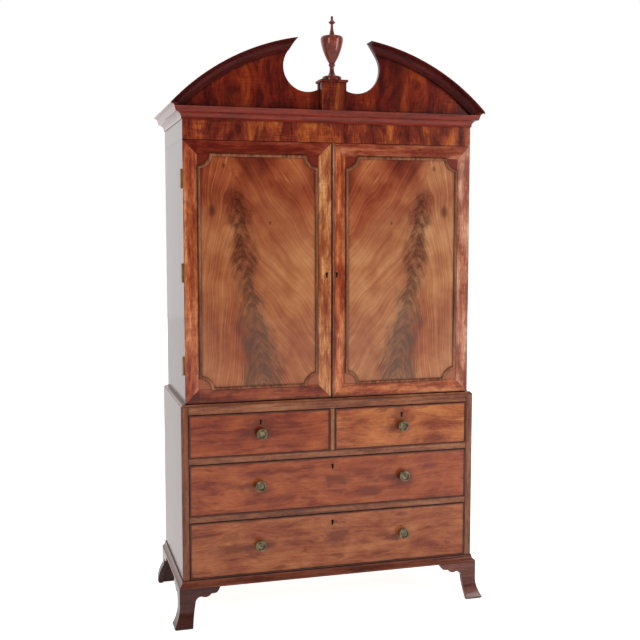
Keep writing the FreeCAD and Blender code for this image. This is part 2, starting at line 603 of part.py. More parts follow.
def dovetailedBox(name, left, right, low, high, shoulder, tip, back):
    """Two sides with tails at both ends, the back between them and a bottom in grooves."""
    tails = int(number("TailCount"))
    bottomTop = f"{low} + BottomRise + BottomThick"
    rear = f"{back} - BoxBackThick"
    front = tailCorners(shoulder, tip, f"{bottomTop} + TailLift", high, tails)
    behind = tailCorners(rear, back, f"{bottomTop} + TailLift", high, tails)
    outline = [(shoulder, low)] + front + [(shoulder, high), (rear, high)]
    outline += behind[::-1] + [(rear, bottomTop), (back, bottomTop), (back, low)]
    bottom = board(name + "Bottom", (f"{left} + BoxSideThick - GrooveDeep",
                                     f"{right} - BoxSideThick + GrooveDeep"),
                   (f"{shoulder} - GrooveDeep", back), (f"{low} + BottomRise", bottomTop))
    blank = prism(name + "SideBlank", "YZ_Plane", left, f"{left} + BoxSideThick", (outline, {}))
    leftSide = cut(name + "SideLeft", blank, bottom)
    rightSide = mirrored(name + "SideRight", leftSide, x=f"({left} + {right}) / 2")
    backBoard = cut(name + "Back",
                    board(name + "BackBlank", (left, right), (rear, back),
                          (bottomTop, f"{high} - BackDrop")), [leftSide, rightSide])
    return [leftSide, rightSide, backBoard, bottom]


# ---- drawers ----

def knob(name, across, level):
    """A turned brass knob with a dished face, its rose, and the post through the front."""
    tip = "KnobProud"
    inside = "FrontThick + NutThick + PostEnd"
    points = [("0", f"-{inside}"), ("PostRadius", f"-{inside}"), ("PostRadius", "0"),
              ("RoseRadius", "0"), ("RoseRadius", "RoseThick"), ("KnobNeck", "RoseThick * 2"),
              ("KnobNeck", f"{tip} * 0.5"), ("KnobRadius", f"{tip} - KnobRim"),
              ("KnobRadius", f"{tip} - KnobLip"), ("KnobRadius - KnobLip", tip),
              ("KnobRadius - KnobRim", tip),
              ("KnobRadius - KnobRim - KnobLip", f"{tip} - KnobDish"), ("0", f"{tip} - KnobDish")]
    arcs = {6: ("KnobRadius", -1)}
    body = turned(name + "Knob", points, arcs, across, "CaseFront", level)
    # the turning axis lies along the drawer's travel, with the face to the front
    body.Placement.Rotation = FreeCAD.Rotation(FreeCAD.Vector(1, 0, 0), 90)
    nutBlank = doc.addObject("Part::Prism", name + "NutBlank")
    nutBlank.Polygon = 6
    bind(nutBlank, "Circumradius", "NutRadius")
    bind(nutBlank, "Height", "NutThick")
    nutBlank.Placement.Rotation = FreeCAD.Rotation(FreeCAD.Vector(1, 0, 0), -90)
    for axis, place in zip("xyz", (across, "CaseFront + FrontThick", level)):
        bind(nutBlank, "Placement.Base." + axis, place)
    nut = cut(name + "Nut", nutBlank,
              cylinder(name + "NutHole", "PostRadius", "NutThick + 2 * Overcut", across,
                       "CaseFront + FrontThick - Overcut", level, "y"))
    hole = cylinder(name + "Hole", "PostRadius + PostPlay", "FrontThick + 2 * Overcut", across,
                    "CaseFront - Overcut", level, "y")
    return [body, nut], hole


def drawer(label, left, right, low, high, knobs, knobRise):
    """A cockbeaded front on a dovetailed box, with knobs, keyhole, lock and sliding bolt."""
    x0, x1 = f"{left} + FrontGap", f"{right} - FrontGap"
    z0, z1 = f"{low} + RunGap", f"{high} - FrontGap"
    middle = f"({left} + {right}) / 2"
    rebate = "CaseFront + BeadDeep"
    back = "CaseFront + FrontThick"
    inner = (f"{x0} + BeadWide", f"{x1} - BeadWide")
    blank = fuse(label + "FrontBlank", [
        board(label + "Face", inner, ("CaseFront", rebate), (f"{z0} + BeadWide", f"{z1} - BeadWide")),
        board(label + "Core", (x0, x1), (rebate, back), (z0, z1))])
    proud = ("CaseFront - BeadProud", rebate)
    beads = [board(label + "BeadFoot", (x0, x1), proud, (z0, f"{z0} + BeadWide")),
             board(label + "BeadHead", (x0, x1), proud, (f"{z1} - BeadWide", z1)),
             board(label + "BeadLeft", (x0, f"{x0} + BeadWide"), proud,
                   (f"{z0} + BeadWide", f"{z1} - BeadWide")),
             board(label + "BeadRight", (f"{x1} - BeadWide", x1), proud,
                   (f"{z0} + BeadWide", f"{z1} - BeadWide"))]
    box = dovetailedBox(label + "Box", x0, x1, z0, f"{z1} - SideDrop", back,
                        f"{back} - DovetailReach", "DrawerBack")
    # lock case let into the back of the front, with its bolt shooting up into the rail
    boltTop = f"{high} - LockDrop / 2"
    boltBack = f"{back} - BoltCover"
    bolt = board(label + "Bolt", (f"{middle} - BoltWide / 2", f"{middle} + BoltWide / 2"),
                 (f"{boltBack} - BoltThick", boltBack), (f"{boltTop} - BoltLong", boltTop))
    channel = board(label + "BoltWay",
                    (f"{middle} - BoltWide / 2 - BoltPlay", f"{middle} + BoltWide / 2 + BoltPlay"),
                    (f"{boltBack} - BoltThick - BoltPlay", f"{boltBack} + BoltPlay"),
                    (f"{boltTop} - BoltLong - BoltPlay", f"{high} + Overcut"))
    lockBlank = board(label + "LockBlank", (f"{middle} - LockWide / 2", f"{middle} + LockWide / 2"),
                      (rebate, back), (f"{high} - LockDrop - LockHigh", f"{high} - LockDrop"))
    lock = cut(label + "Lock", lockBlank, channel)
    liner, seat = keyhole(label + "Key", middle, f"{high} - KeyholeDrop", "CaseFront", rebate)
    brass, holes = [], []
    for place, across in enumerate(knobs):
        solids, hole = knob(f"{label}{place}", across, f"({low} + {high}) / 2 + {knobRise}")
        brass += solids
        holes.append(hole)
    front = cut(label + "FrontBoard", blank, box[:2] + [box[3], channel, lockBlank, seat] + holes)
    node(f"{label}_front", front, *beads)
    node(f"{label}_box", *box)
    node(f"{label}_brass", *brass, lock, liner)
    node(f"{label}_lock_bolt", bolt)


def drawers():
    half = "MuntinWide / 2"
    shortMiddle = f"(OpeningHalf + {half}) / 2"
    drawer("drawer_short_left", "-OpeningHalf", f"-{half}", "ShortOpen", "ShortOpenTop",
           [f"-{shortMiddle}"], "ShortKnobRise")
    drawer("drawer_short_right", half, "OpeningHalf", "ShortOpen", "ShortOpenTop",
           [shortMiddle], "ShortKnobRise")
    both = ["-LongKnobAcross", "LongKnobAcross"]
    drawer("drawer_long_upper", "-OpeningHalf", "OpeningHalf", "UpperOpen", "UpperOpenTop",
           both, "LongKnobRise")
    drawer("drawer_long_lower", "-OpeningHalf", "OpeningHalf", "LowerOpen", "LowerOpenTop",
           both, "LongKnobRise")


# ---- hinges ----

HINGE_LEVELS = ("DoorFoot + HingeFromEnd", "(DoorFoot + DoorHead) / 2", "DoorHead - HingeFromEnd")


def hinge(name, level):
    """A butt hinge at the left: the door's leaf, the carcase's leaf and the pin that it holds."""
    low, high = f"{level} - HingeHigh / 2", f"{level} + HingeHigh / 2"
    third = "HingeHigh / 3"
    clear = "-HingeAcross + BarrelRadius + BarrelGap"
    inner = "-UpperHalf + LeafWide"
    doorY = ("DoorBack - LeafThick", "DoorBack")
    caseY = ("CarcaseFront", "CarcaseFront + LeafThick")
    middle = (f"{low} + {third} + BarrelGap", f"{high} - {third} - BarrelGap")
    bore = cylinder(name + "Bore", "PinRadius + PinPlay", "HingeHigh + 2 * Overcut", "-HingeAcross",
                    "HingeLine", f"{low} - Overcut")
    doorLeaf = cut(name + "DoorLeaf", fuse(name + "DoorLeafBlank", [
        board(name + "DoorPlate", (clear, inner), doorY, (low, high)),
        board(name + "DoorWeb", ("-HingeAcross", inner), doorY, middle),
        cylinder(name + "DoorKnuckle", "BarrelRadius", f"({middle[1]}) - ({middle[0]})",
                 "-HingeAcross", "HingeLine", middle[0])]), bore)
    casePieces = [board(name + "CasePlate", (clear, inner), caseY, (low, high))]
    for end, (foot, head) in {"Low": (low, f"{low} + {third}"),
                              "High": (f"{high} - {third}", high)}.items():
        casePieces.append(board(f"{name}CaseWeb{end}", ("-HingeAcross", inner), caseY, (foot, head)))
        casePieces.append(cylinder(f"{name}CaseKnuckle{end}", "BarrelRadius", third,
                                   "-HingeAcross", "HingeLine", foot))
    pinHole = cylinder(name + "PinHole", "PinRadius", "HingeHigh + 2 * Overcut", "-HingeAcross",
                       "HingeLine", f"{low} - Overcut")
    caseLeaf = cut(name + "CaseLeaf", fuse(name + "CaseLeafBlank", casePieces), pinHole)
    pin = cylinder(name + "Pin", "PinRadius", "HingeHigh", "-HingeAcross", "HingeLine", low)
    doorSeat = board(name + "DoorSeat", ("-UpperHalf", inner), doorY, (low, high))
    caseSeat = board(name + "CaseSeat", ("-UpperHalf", inner), caseY, (low, high))
    return doorLeaf, caseLeaf, pin, doorSeat, caseSeat


# ---- doors ----

def trapezoid(name, points):
    return prism(name, "XZ_Plane", "UpperFront", "DoorBack",
                 ([(f"-({across})", level) for across, level in points], {}))


def doorFrameBlanks(tongue):
    """Four mitred members of the left door, grooved for the panel's tongue."""
    out, edge = "UpperHalf", "DoorEdge"
    outIn, edgeIn = "UpperHalf - FrameWide", "DoorEdge + FrameWide"
    low, high = "DoorFoot", "DoorHead"
    lowIn, highIn = "DoorFoot + FrameWide", "DoorHead - FrameWide"
    corners = {"HingeStile": [(out, low), (outIn, lowIn), (outIn, highIn), (out, high)],
               "MeetingStile": [(edge, low), (edge, high), (edgeIn, highIn), (edgeIn, lowIn)],
               "TopRail": [(out, high), (outIn, highIn), (edgeIn, highIn), (edge, high)],
               "BottomRail": [(out, low), (edge, low), (edgeIn, lowIn), (outIn, lowIn)]}
    return {name: cut("door" + name, trapezoid("door" + name + "Blank", points), tongue)
            for name, points in corners.items()}


def doorPanel():
    """The field flush with the frame, over a longer tongue."""
    across = ("-UpperHalf + FrameWide", "-DoorEdge - FrameWide")
    high = ("DoorFoot + FrameWide", "DoorHead - FrameWide")
    tongueFront = "UpperFront + PanelThick - TongueThick"
    tongue = board("panelTongue", (f"{across[0]} - TongueLong", f"{across[1]} + TongueLong"),
                   (tongueFront, "UpperFront + PanelThick"),
                   (f"{high[0]} - TongueLong", f"{high[1]} + TongueLong"))
    field = board("panelField", across, ("UpperFront", tongueFront), high)
    return fuse("doorPanel", [field, tongue]), tongue


def astragalLoop(width, radius):
    """A rectangle with hollow corners struck from the corners of the outer rectangle."""
    left, right = "-UpperHalf + AstragalSide", "-DoorEdge - AstragalSide"
    low, high = "DoorFoot + AstragalEnd", "DoorHead - AstragalEnd"
    along = f"sqrt(({radius}) ^ 2 - ({width}) ^ 2)"
    points = [(f"{left} + {along}", f"{low} + {width}"), (f"{right} - {along}", f"{low} + {width}"),
              (f"{right} - {width}", f"{low} + {along}"), (f"{right} - {width}", f"{high} - {along}"),
              (f"{right} - {along}", f"{high} - {width}"), (f"{left} + {along}", f"{high} - {width}"),
              (f"{left} + {width}", f"{high} - {along}"), (f"{left} + {width}", f"{low} + {along}")]
    return points, {1: (radius, 1), 3: (radius, 1), 5: (radius, 1), 7: (radius, 1)}


def astragal():
    """A bevelled moulding planted on the joint of frame and panel."""
    body = prism("doorAstragal", "XZ_Plane", "UpperFront - AstragalProud", "UpperFront",
                 astragalLoop("0", "HollowRadius"),
                 astragalLoop("AstragalWide", "HollowRadius + AstragalWide"))
    doc.recompute()
    pad = body.Tip
    front = min(vertex.Point.y for vertex in pad.Shape.Vertexes)
    crest = [f"Edge{index}" for index, edge in enumerate(pad.Shape.Edges, 1)
             if all(abs(vertex.Point.y - front) < 1e-6 for vertex in edge.Vertexes)]
    bevel = body.newObject("PartDesign::Chamfer", "doorAstragalBevel")
    bevel.Base = (pad, crest)
    bind(bevel, "Size", "AstragalBevel")
    body.Tip = bevel
    return body


def doorLock():
    """Lock let into the right door's meeting stile, its bolt, keyhole and strike room."""
    boltEnd = "DoorEdge + DoorBoltSetback"
    low, high = "LockLevel - DoorLockHigh / 2", "LockLevel + DoorLockHigh / 2"
    front = "DoorBack - DoorLockDeep"
    blank = board("doorLockBlank", ("DoorEdge + BoltCover", "DoorEdge + BoltCover + DoorLockWide"),
                  (front, "DoorBack"), (low, high))
    boltDeep = ("DoorBack - BoltCover - BoltThick", "DoorBack - BoltCover")
    boltHigh = ("LockLevel - DoorBoltHigh / 2", "LockLevel + DoorBoltHigh / 2")
    bolt = board("doorLockBolt", (boltEnd, f"{boltEnd} + BoltLong"), boltDeep, boltHigh)
    wayDeep = (f"{boltDeep[0]} - BoltPlay", f"{boltDeep[1]} + BoltPlay")
    wayHigh = (f"{boltHigh[0]} - BoltPlay", f"{boltHigh[1]} + BoltPlay")
    way = board("doorBoltWay", ("DoorEdge - Overcut", f"{boltEnd} + BoltLong + BoltPlay"),
                wayDeep, wayHigh)
    strike = board("doorStrike", ("-DoorEdge - DoorBoltThrow", "-DoorEdge + Overcut"),
                   wayDeep, wayHigh)
    liner, seat = keyhole("doorKey", "DoorKeyIn", "LockLevel", "UpperFront", front)
    lock = cut("doorLockCase", blank, way)
    return lock, liner, bolt, [blank, way, seat], strike


def flushBolt(label, end, sign):
    """A rod in two staples on a plate, shooting past the door's end into the carcase."""
    def level(distance):
        return f"{end} {sign} ({distance})"

    def span(near, far):
        pair = (level(near), level(far))
        return pair if sign == "+" else pair[::-1]
    half = "FlushPlateWide / 2"
    middle = "-FlushBoltIn"
    rod = "FlushRodWide"
    plateDeep = ("DoorBack", "DoorBack + FlushPlateThick")
    rodDeep = ("DoorBack + FlushRodOff", f"DoorBack + FlushRodOff + {rod}")
    plateSpan = span("FlushEndGap", "FlushEndGap + FlushPlateHigh")
    plate = board(label + "Plate", (f"{middle} - {half}", f"{middle} + {half}"), plateDeep, plateSpan)
    way = board(label + "Way", (f"{middle} - {rod} / 2 - BoltPlay", f"{middle} + {rod} / 2 + BoltPlay"),
                (f"{rodDeep[0]} - BoltPlay", f"{rodDeep[1]} + BoltPlay"),
                span("0", "FlushEndGap + FlushPlateHigh"))
    staples = []
    nearStaple = "FlushEndGap + StapleIn"
    farStaple = "FlushEndGap + FlushPlateHigh - StapleHigh - StapleIn"
    for place, start in enumerate((nearStaple, farStaple)):
        loop = board(f"{label}Loop{place}", (f"{middle} - {half}", f"{middle} + {half}"),
                     (plateDeep[1], f"{rodDeep[1]} + BoltPlay + StapleWall"),
                     span(start, f"{start} + StapleHigh"))
        staples.append(cut(f"{label}Staple{place}", loop, way))
    shaft = board(label + "Rod", (f"{middle} - {rod} / 2", f"{middle} + {rod} / 2"), rodDeep,
                  span("FlushRodGap", f"{farStaple} + StapleHigh + FlushThrow"))
    thumb = cylinder(label + "Thumb", "ThumbRadius", "ThumbLong", middle, rodDeep[1],
                     level("FlushEndGap + FlushPlateHigh / 2"), "y")
    return fuse(label + "Bolt", [shaft, thumb]), [plate] + staples, way


def doors():
    panel, tongue = doorPanel()
    blanks = doorFrameBlanks(tongue)
    doorLeaves, caseLeaves, pins, doorSeats, caseSeats = [], [], [], [], []
    for place, level in enumerate(HINGE_LEVELS):
        doorLeaf, caseLeaf, pin, doorSeat, caseSeat = hinge(f"hinge{place}", level)
        doorLeaves.append(doorLeaf)
        caseLeaves.append(caseLeaf)
        pins.append(pin)
        doorSeats.append(doorSeat)
        caseSeats.append(caseSeat)
    lock, liner, bolt, lockSeats, strike = doorLock()
    hingeStile = cut("doorHingeStileLeft", blanks["HingeStile"], doorSeats)
    meeting = blanks["MeetingStile"]
    moulding = astragal()
    blindLiner, blindSeat = (mirrored(f"blind{name}", piece)
                             for name, piece in (("Liner", liner), ("Seat", lockSeats[-1])))
    node("door_left_frame", hingeStile, cut("doorMeetingStileLeft", meeting, [strike, blindSeat]),
         blanks["TopRail"], blanks["BottomRail"])
    node("door_left_panel", panel)
    node("door_left_astragal", moulding)
    node("door_left_hinges", *doorLeaves)
    beadEdge = "UpperFront - MeetingBeadEdge"
    bead = prism("meetingBead", "XY_Plane", "DoorFoot", "DoorHead", (
        [("DoorEdge", "UpperFront"), ("DoorEdge", beadEdge), ("DoorEdge + MeetingBeadWide", beadEdge),
         ("DoorEdge + MeetingBeadWide", "UpperFront")], {1: ("MeetingBeadRadius", -1)}))
    rightMeeting = cut("doorMeetingStileRight", mirrored("doorMeetingStileImage", meeting), lockSeats)
    node("door_right_frame", mirrored("doorHingeStileRight", hingeStile), rightMeeting,
         mirrored("doorTopRailRight", blanks["TopRail"]),
         mirrored("doorBottomRailRight", blanks["BottomRail"]), bead)
    node("door_right_panel", mirrored("doorPanelRight", panel))
    node("door_right_astragal", mirrored("doorAstragalRight", moulding))
    node("door_right_hinges", *[mirrored(f"doorLeafRight{place}", leaf)
                                for place, leaf in enumerate(doorLeaves)])
    node("door_lock", lock, liner)
    node("door_lock_bolt", bolt)
    fixed = caseLeaves + pins
    node("hinge_case_leaves", *fixed, *[mirrored(f"caseLeafRight{place}", piece)
                                        for place, piece in enumerate(fixed)])
    topBolt, topPlates, topWay = flushBolt("flushTop", "CeilingUnder", "-")
    footBolt, footPlates, footWay = flushBolt("flushFoot", "FloorTop", "+")
    node("flush_bolt_top", topBolt)
    node("flush_bolt_bottom", footBolt)
    node("door_left_brass", *topPlates, *footPlates, blindLiner)
    return caseSeats


# ---- cupboard ----

def flushSocket(name, low, high):
    """Hole in the carcase that a flush bolt shoots into."""
    return board(name, ("-FlushBoltIn - FlushRodWide / 2 - BoltPlay",
                        "-FlushBoltIn + FlushRodWide / 2 + BoltPlay"),
                 ("DoorBack + FlushRodOff - BoltPlay",
                  "DoorBack + FlushRodOff + FlushRodWide + BoltPlay"), (low, high))


def upperCase(caseSeats):
    inside = ("-UpperInside", "UpperInside")
    deep = ("CarcaseFront", "LowerBackFace")
    leftSide = cut("upperSideLeft", board("upperSideBlank", ("-UpperHalf", "-UpperInside"),
                                          ("CarcaseFront", "CaseBack"),
                                          ("WaistHeight", "UpperTop")), caseSeats)
    node("upper_side_left", leftSide)
    node("upper_side_right", mirrored("upperSideRight", leftSide))
    depth = "FlushThrow + SocketRoom"
    node("upper_bottom_board", cut("upperBottom", board("upperBottomBlank", inside, deep,
                                                        ("WaistHeight", "FloorTop")),
                                   flushSocket("footSocket", f"FloorTop - {depth}",
                                               "FloorTop + Overcut")))
    node("upper_top_board", cut("upperTop", board("upperTopBlank", inside, deep,
                                                  ("CeilingUnder", "UpperTop")),
                                flushSocket("headSocket", "CeilingUnder - Overcut",
                                            f"CeilingUnder + {depth}")))
    stile = "BackStile"
    back = ("LowerBackFace", "CaseBack")
    low, high = f"WaistHeight + {stile}", f"UpperTop - {stile}"
    frame = [board("backStile", reach(side, f"UpperInside - {stile}", "UpperInside"), back,
                   ("WaistHeight", "UpperTop")) for side in SIDES]
    between = (f"-UpperInside + {stile}", f"UpperInside - {stile}")
    frame.append(board("backBottomRail", between, back, ("WaistHeight", low)))
    frame.append(board("backTopRail", between, back, (high, "UpperTop")))
    frame.append(board("backMuntin", (f"-{stile} / 2", f"{stile} / 2"), back, (low, high)))
    middle = "(LowerBackFace + CaseBack) / 2"
    panelDeep = (f"{middle} - BackPanelThick / 2", f"{middle} + BackPanelThick / 2")

    def panelsOver(name, tongue):
        return [board(name, reach(side, f"{stile} / 2 - {tongue}", f"UpperInside - {stile} + {tongue}"),
                      panelDeep, (f"{low} - {tongue}", f"{high} + {tongue}")) for side in SIDES]
    panels = panelsOver("backPanel", "BackPanelTongue")
    grooves = panelsOver("backGroove", "(BackPanelTongue + BackPanelPlay)")
    node("upper_back", *[cut(f"backMember{place}", member, grooves)
                         for place, member in enumerate(frame)], *panels)


def trays():
    """Sliding trays with scooped, dovetailed fronts, and the bearers that they run on."""
    bearers = []
    for place in range(int(number("TrayCount"))):
        low = f"TrayBase + TrayPitch * {place}"
        high = f"{low} + TrayHigh"
        dip = f"{high} - TrayDip"
        horn = "(TrayHalf - TrayHorn)"
        name = f"tray{place}"
        shoulder = "TrayFront + TrayFrontThick"
        box = dovetailedBox(name, "-TrayHalf", "TrayHalf", low, high, shoulder,
                            f"{shoulder} - TrayReach", "TrayBack")
        blank = prism(name + "FrontBlank", "XZ_Plane", "TrayFront", shoulder, (
            [("-TrayHalf", low), ("TrayHalf", low), ("TrayHalf", high), (horn, high),
             (f"{horn} - TrayDip", dip), (f"-{horn} + TrayDip", dip), (f"-{horn}", high),
             ("-TrayHalf", high)], {3: ("TrayDip", 1), 5: ("TrayDip", 1)}))
        front = cut(name + "Front", blank, box[:2] + [box[3]])
        node(f"tray_{place + 1}", front, *box)
        for side in SIDES:
            bearers.append(board("trayRunner", reach(side, "UpperInside - TrayRunnerWide", "UpperInside"),
                                 ("CarcaseFront + BoardThick", "LowerBackFace"),
                                 (f"{low} - RunGap - RunnerHigh", f"{low} - RunGap")))
    node("tray_runners", *bearers)


# ---- frieze box and pediment ----

def friezeBox():
    inner = "UpperFront + BoardThick"
    rearFace = "CaseBack - BoardThick"
    high = ("UpperTop", "CorniceTop")
    pieces = [board("friezeFront", ("-UpperHalf", "UpperHalf"), ("UpperFront", inner),
                    ("UpperTop", "PedimentFoot"))]
    for side in SIDES:
        pieces.append(board("friezeSide", reach(side, "UpperInside", "UpperHalf"),
                            (inner, "CaseBack"), high))
    pieces.append(board("friezeRear", ("-UpperInside", "UpperInside"), (rearFace, "CaseBack"), high))
    pieces.append(board("friezeDustTop", ("-UpperInside", "UpperInside"), (inner, rearFace),
                        ("CorniceTop - BoardThick", "CorniceTop")))
    node("frieze_box", *pieces)


def pediment():
    """An arched board and its raking moulding, both broken by one outline of two round lobes."""
    lobes = [("-PlinthHalf", "CutLow"), ("-TangentAcross", "TangentHeight"),
             ("-2 * TipHalf + TangentAcross", "2 * TipHeight - TangentHeight"),
             ("2 * TipHalf - TangentAcross", "2 * TipHeight - TangentHeight"),
             ("TangentAcross", "TangentHeight"), ("PlinthHalf", "CutLow")]
    opening = prism("pedimentOpening", "XZ_Plane", "UpperFront - MitreReach",
                    "UpperFront + MitreReach", (lobes, {0: ("CutRadius", 1), 4: ("CutRadius", 1)}))
    blank = prism("pedimentBlank", "XZ_Plane", "UpperFront", "UpperFront + TympanumThick",
                  ([("-UpperHalf", "PedimentFoot"), ("UpperHalf", "PedimentFoot"),
                    ("UpperHalf", "BoardShoulder"), ("-UpperHalf", "BoardShoulder")],
                   {2: ("BoardRadius", -1)}))
    node("pediment_board", cut("pedimentBoard", blank, opening))
    node("raking_mouldings", rakingMouldings(opening))


def rakingMouldings(opening):
    """Fillet, cove and cap revolved along the arch, mitred to the cornice's returns as far as their
    top and running on over them above it."""
    rake = [(f"UpperFront - {out}", f"ArchRadius - RakeHigh + {rise}") for out, rise in (
        ("0", "0"), ("RakeFilletOut", "0"), ("RakeFilletOut", "RakeFilletHigh"),
        ("RakeCoveOut", "RakeCoveTop"), ("CorniceProjection", "RakeCoveTop"),
        ("CorniceProjection", "RakeHigh"))]
    rake += [("UpperFront + TympanumThick", "ArchRadius"),
             ("UpperFront + TympanumThick", "BoardRadius"), ("UpperFront", "BoardRadius")]
    body = doc.addObject("PartDesign::Body", "rake")
    turn = body.newObject("PartDesign::Revolution", "rakeTurn")
    turn.Profile = profile(body, "YZ_Plane", (rake, {2: ("RakeCoveOut - RakeFilletOut", -1)}))
    turn.ReferenceAxis = (turn.Profile[0], ["H_Axis"])
    turn.Midplane = True
    bind(turn, "Angle", "2 * acos((PedimentFoot - ArchCentre) / ArchRadius) + RakeOverrun * 1 deg")
    bind(body, "Placement.Base.z", "ArchCentre")
    frontPlan, _ = mitrePlans("UpperHalf", "UpperFront")
    plot = fuse("rakePlot", [
        prism("rakeFootPlot", "XY_Plane", "PedimentFoot", "CorniceTop", (frontPlan, {})),
        board("rakeUpperPlot", ("-CorniceHalf", "CorniceHalf"),
              ("UpperFront - CorniceProjection - Overcut", "UpperFront + TympanumThick + Overcut"),
              ("CorniceTop", "ArchCentre + ArchRadius"))])
    return cut("rakingMouldings", common("rakeRun", [body, plot]), opening)


def plinthAndUrn():
    """The die stands proud of the board; its cap has a cove worked round under the edge."""
    front, back = "UpperFront - PlinthProud", "UpperFront + PlinthBack"
    across = ("-PlinthHalf", "PlinthHalf")
    blank = board("plinthCapBlank", ("-CapHalf", "CapHalf"), (f"{front} - CapOut", f"{back} + CapOut"),
                  ("PlinthTop", "CapTop"))
    coves = []
    for along, low, high, ends in (
            ("YZ_Plane", "-CapHalf", "CapHalf", (f"{front} - CapOut", f"{back} + CapOut")),
            ("XZ_Plane", f"{front} - CapOut", f"{back} + CapOut", ("-CapHalf", "CapHalf"))):
        for end, sign in zip(ends, "+-"):
            tip = f"{end} {sign} CapOut"
            far = f"{end} {'-' if sign == '+' else '+'} Overcut"
            corners = [(tip, "PlinthTop"), (end, "PlinthTop + CapOut"), (far, "PlinthTop + CapOut"),
                       (far, "PlinthTop - Overcut"), (tip, "PlinthTop - Overcut")]
            coves.append(prism("plinthCapCove", along, f"{low} - Overcut", f"{high} + Overcut",
                               (corners, {0: ("CapOut", 1 if sign == "+" else -1)})))
    node("pediment_plinth",
         board("plinthDie", across, (front, "UpperFront"), ("PedimentFoot", "PlinthTop")),
         board("plinthBlock", across, ("UpperFront + TympanumThick", back),
               ("CorniceTop", "PlinthTop")), cut("plinthCap", blank, coves))
    urn = [("0", "0"), ("UrnFootRadius", "0"), ("UrnFootRadius", "UrnFootHigh"),
           ("UrnFootRadius - UrnFootRound", "UrnFootHigh + UrnFootRound"),
           ("UrnFlareRadius", "UrnFlareRise"), ("UrnStemRadius", "UrnStemRise"),
           ("UrnStemRadius", "UrnStemTop"), ("UrnBeadRadius", "UrnBeadRise"),
           ("UrnBeadRadius", "UrnBeadTop"), ("UrnNeckRadius", "UrnBodyRise"),
           ("UrnRimRadius", "UrnRimRise"), ("UrnRimRadius", "UrnRimTop"),
           ("UrnLidRadius", "UrnLidRise"), ("SpireRadius", "SpireRise"),
           ("SpireTip", "KnopRise - KnopHalf"), ("KnopRadius", "KnopRise"),
           ("SpireTip", "KnopRise + KnopHalf"), ("SpireTip", "SpireTop"),
           ("0", "SpireTop + SpireTip")]
    arcs = {2: ("UrnFootRound", -1), 4: ("UrnFlareArc", 1), 9: ("UrnBellyRadius", -1),
            11: ("UrnLidArc", -1), 13: ("SpireArc", 1), 17: ("SpireTip", -1)}
    node("urn_finial", turned("urn", urn, arcs, "0", "UrnAxis", "CapTop"))


# ---- build, check and write ----

def build():
    fillSheets()
    feet()
    baseMoulding()
    lowerCase()
    dividers()
    runners()
    waistMoulding()
    drawers()
    upperCase(doors())
    trays()
    friezeBox()
    cornice()
    pediment()
    plinthAndUrn()
    doc.recompute()


def check():
    for thing in doc.Objects:
        if "Invalid" in thing.State or "Error" in thing.State:
            raise RuntimeError(f"{thing.Name} did not compute")
    for thing in nodes:
        if thing.Shape.isNull() or not thing.Shape.isValid():
            raise RuntimeError(f"{thing.Label} has no valid shape")


def write():
    os.makedirs("parts", exist_ok=True)
    for thing in nodes:
        thing.Shape.exportStep(f"parts/{thing.Label}.step")
        print(f"{thing.Label}: {len(thing.Shape.Solids)} solids, {thing.Shape.Volume / 1000:.0f} cm3")
    print(len(nodes), "nodes")


build()
check()
write()
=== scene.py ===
import json
import math
import random

import bmesh
import bpy
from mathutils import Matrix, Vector


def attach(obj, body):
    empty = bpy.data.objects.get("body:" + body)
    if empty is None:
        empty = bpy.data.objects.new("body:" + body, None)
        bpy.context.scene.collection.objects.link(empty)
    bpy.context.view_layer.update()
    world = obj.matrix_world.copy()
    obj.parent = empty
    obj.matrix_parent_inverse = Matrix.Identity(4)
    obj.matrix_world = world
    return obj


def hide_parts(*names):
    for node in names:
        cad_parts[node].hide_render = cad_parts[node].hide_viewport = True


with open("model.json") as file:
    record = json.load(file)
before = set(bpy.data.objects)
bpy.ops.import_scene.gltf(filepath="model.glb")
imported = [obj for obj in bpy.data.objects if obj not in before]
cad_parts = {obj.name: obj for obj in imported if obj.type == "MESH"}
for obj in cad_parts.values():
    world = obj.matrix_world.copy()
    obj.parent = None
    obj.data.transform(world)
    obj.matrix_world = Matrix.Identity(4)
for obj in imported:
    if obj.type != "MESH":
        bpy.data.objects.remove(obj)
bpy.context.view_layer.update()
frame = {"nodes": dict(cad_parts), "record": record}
nodes = frame["nodes"]
bodyOf = {name: body for body, names in frame["record"]["behaviour"]["bodies"].items()
          for name in names}
print("frame loaded with", len(nodes), "nodes")


# small helpers for node trees

def put(tree, kind, inputs=None, **settings):
    # a new node with its settings, and each input either linked or set
    made = tree.nodes.new("ShaderNode" + kind)
    for key, value in settings.items():
        setattr(made, key, value)
    for key, value in (inputs or {}).items():
        if isinstance(value, bpy.types.NodeSocket):
            tree.links.new(value, made.inputs[key])
        else:
            made.inputs[key].default_value = value
    return made


def calc(tree, operation, *values, clamp=False):
    made = put(tree, "Math", dict(enumerate(values)), operation=operation, use_clamp=clamp)
    return made.outputs[0]


def add(tree, *values):
    total = values[0]
    for value in values[1:]:
        total = calc(tree, "ADD", total, value)
    return total


def less(tree, first, second):
    return calc(tree, "SUBTRACT", first, second)


def times(tree, first, second):
    return calc(tree, "MULTIPLY", first, second)


def most(tree, first, second):
    return calc(tree, "MAXIMUM", first, second)


def swing(tree, value, amount):
    # a noise value turned into a swing about nought
    return times(tree, less(tree, value, 0.5), amount)


def split(tree, vector):
    return put(tree, "SeparateXYZ", {0: vector}).outputs


def join(tree, x, y, z):
    return put(tree, "CombineXYZ", {0: x, 1: y, 2: z}).outputs[0]


def stretch(tree, vector, sizes):
    return put(tree, "VectorMath", {0: vector, 1: sizes}, operation="MULTIPLY").outputs[0]


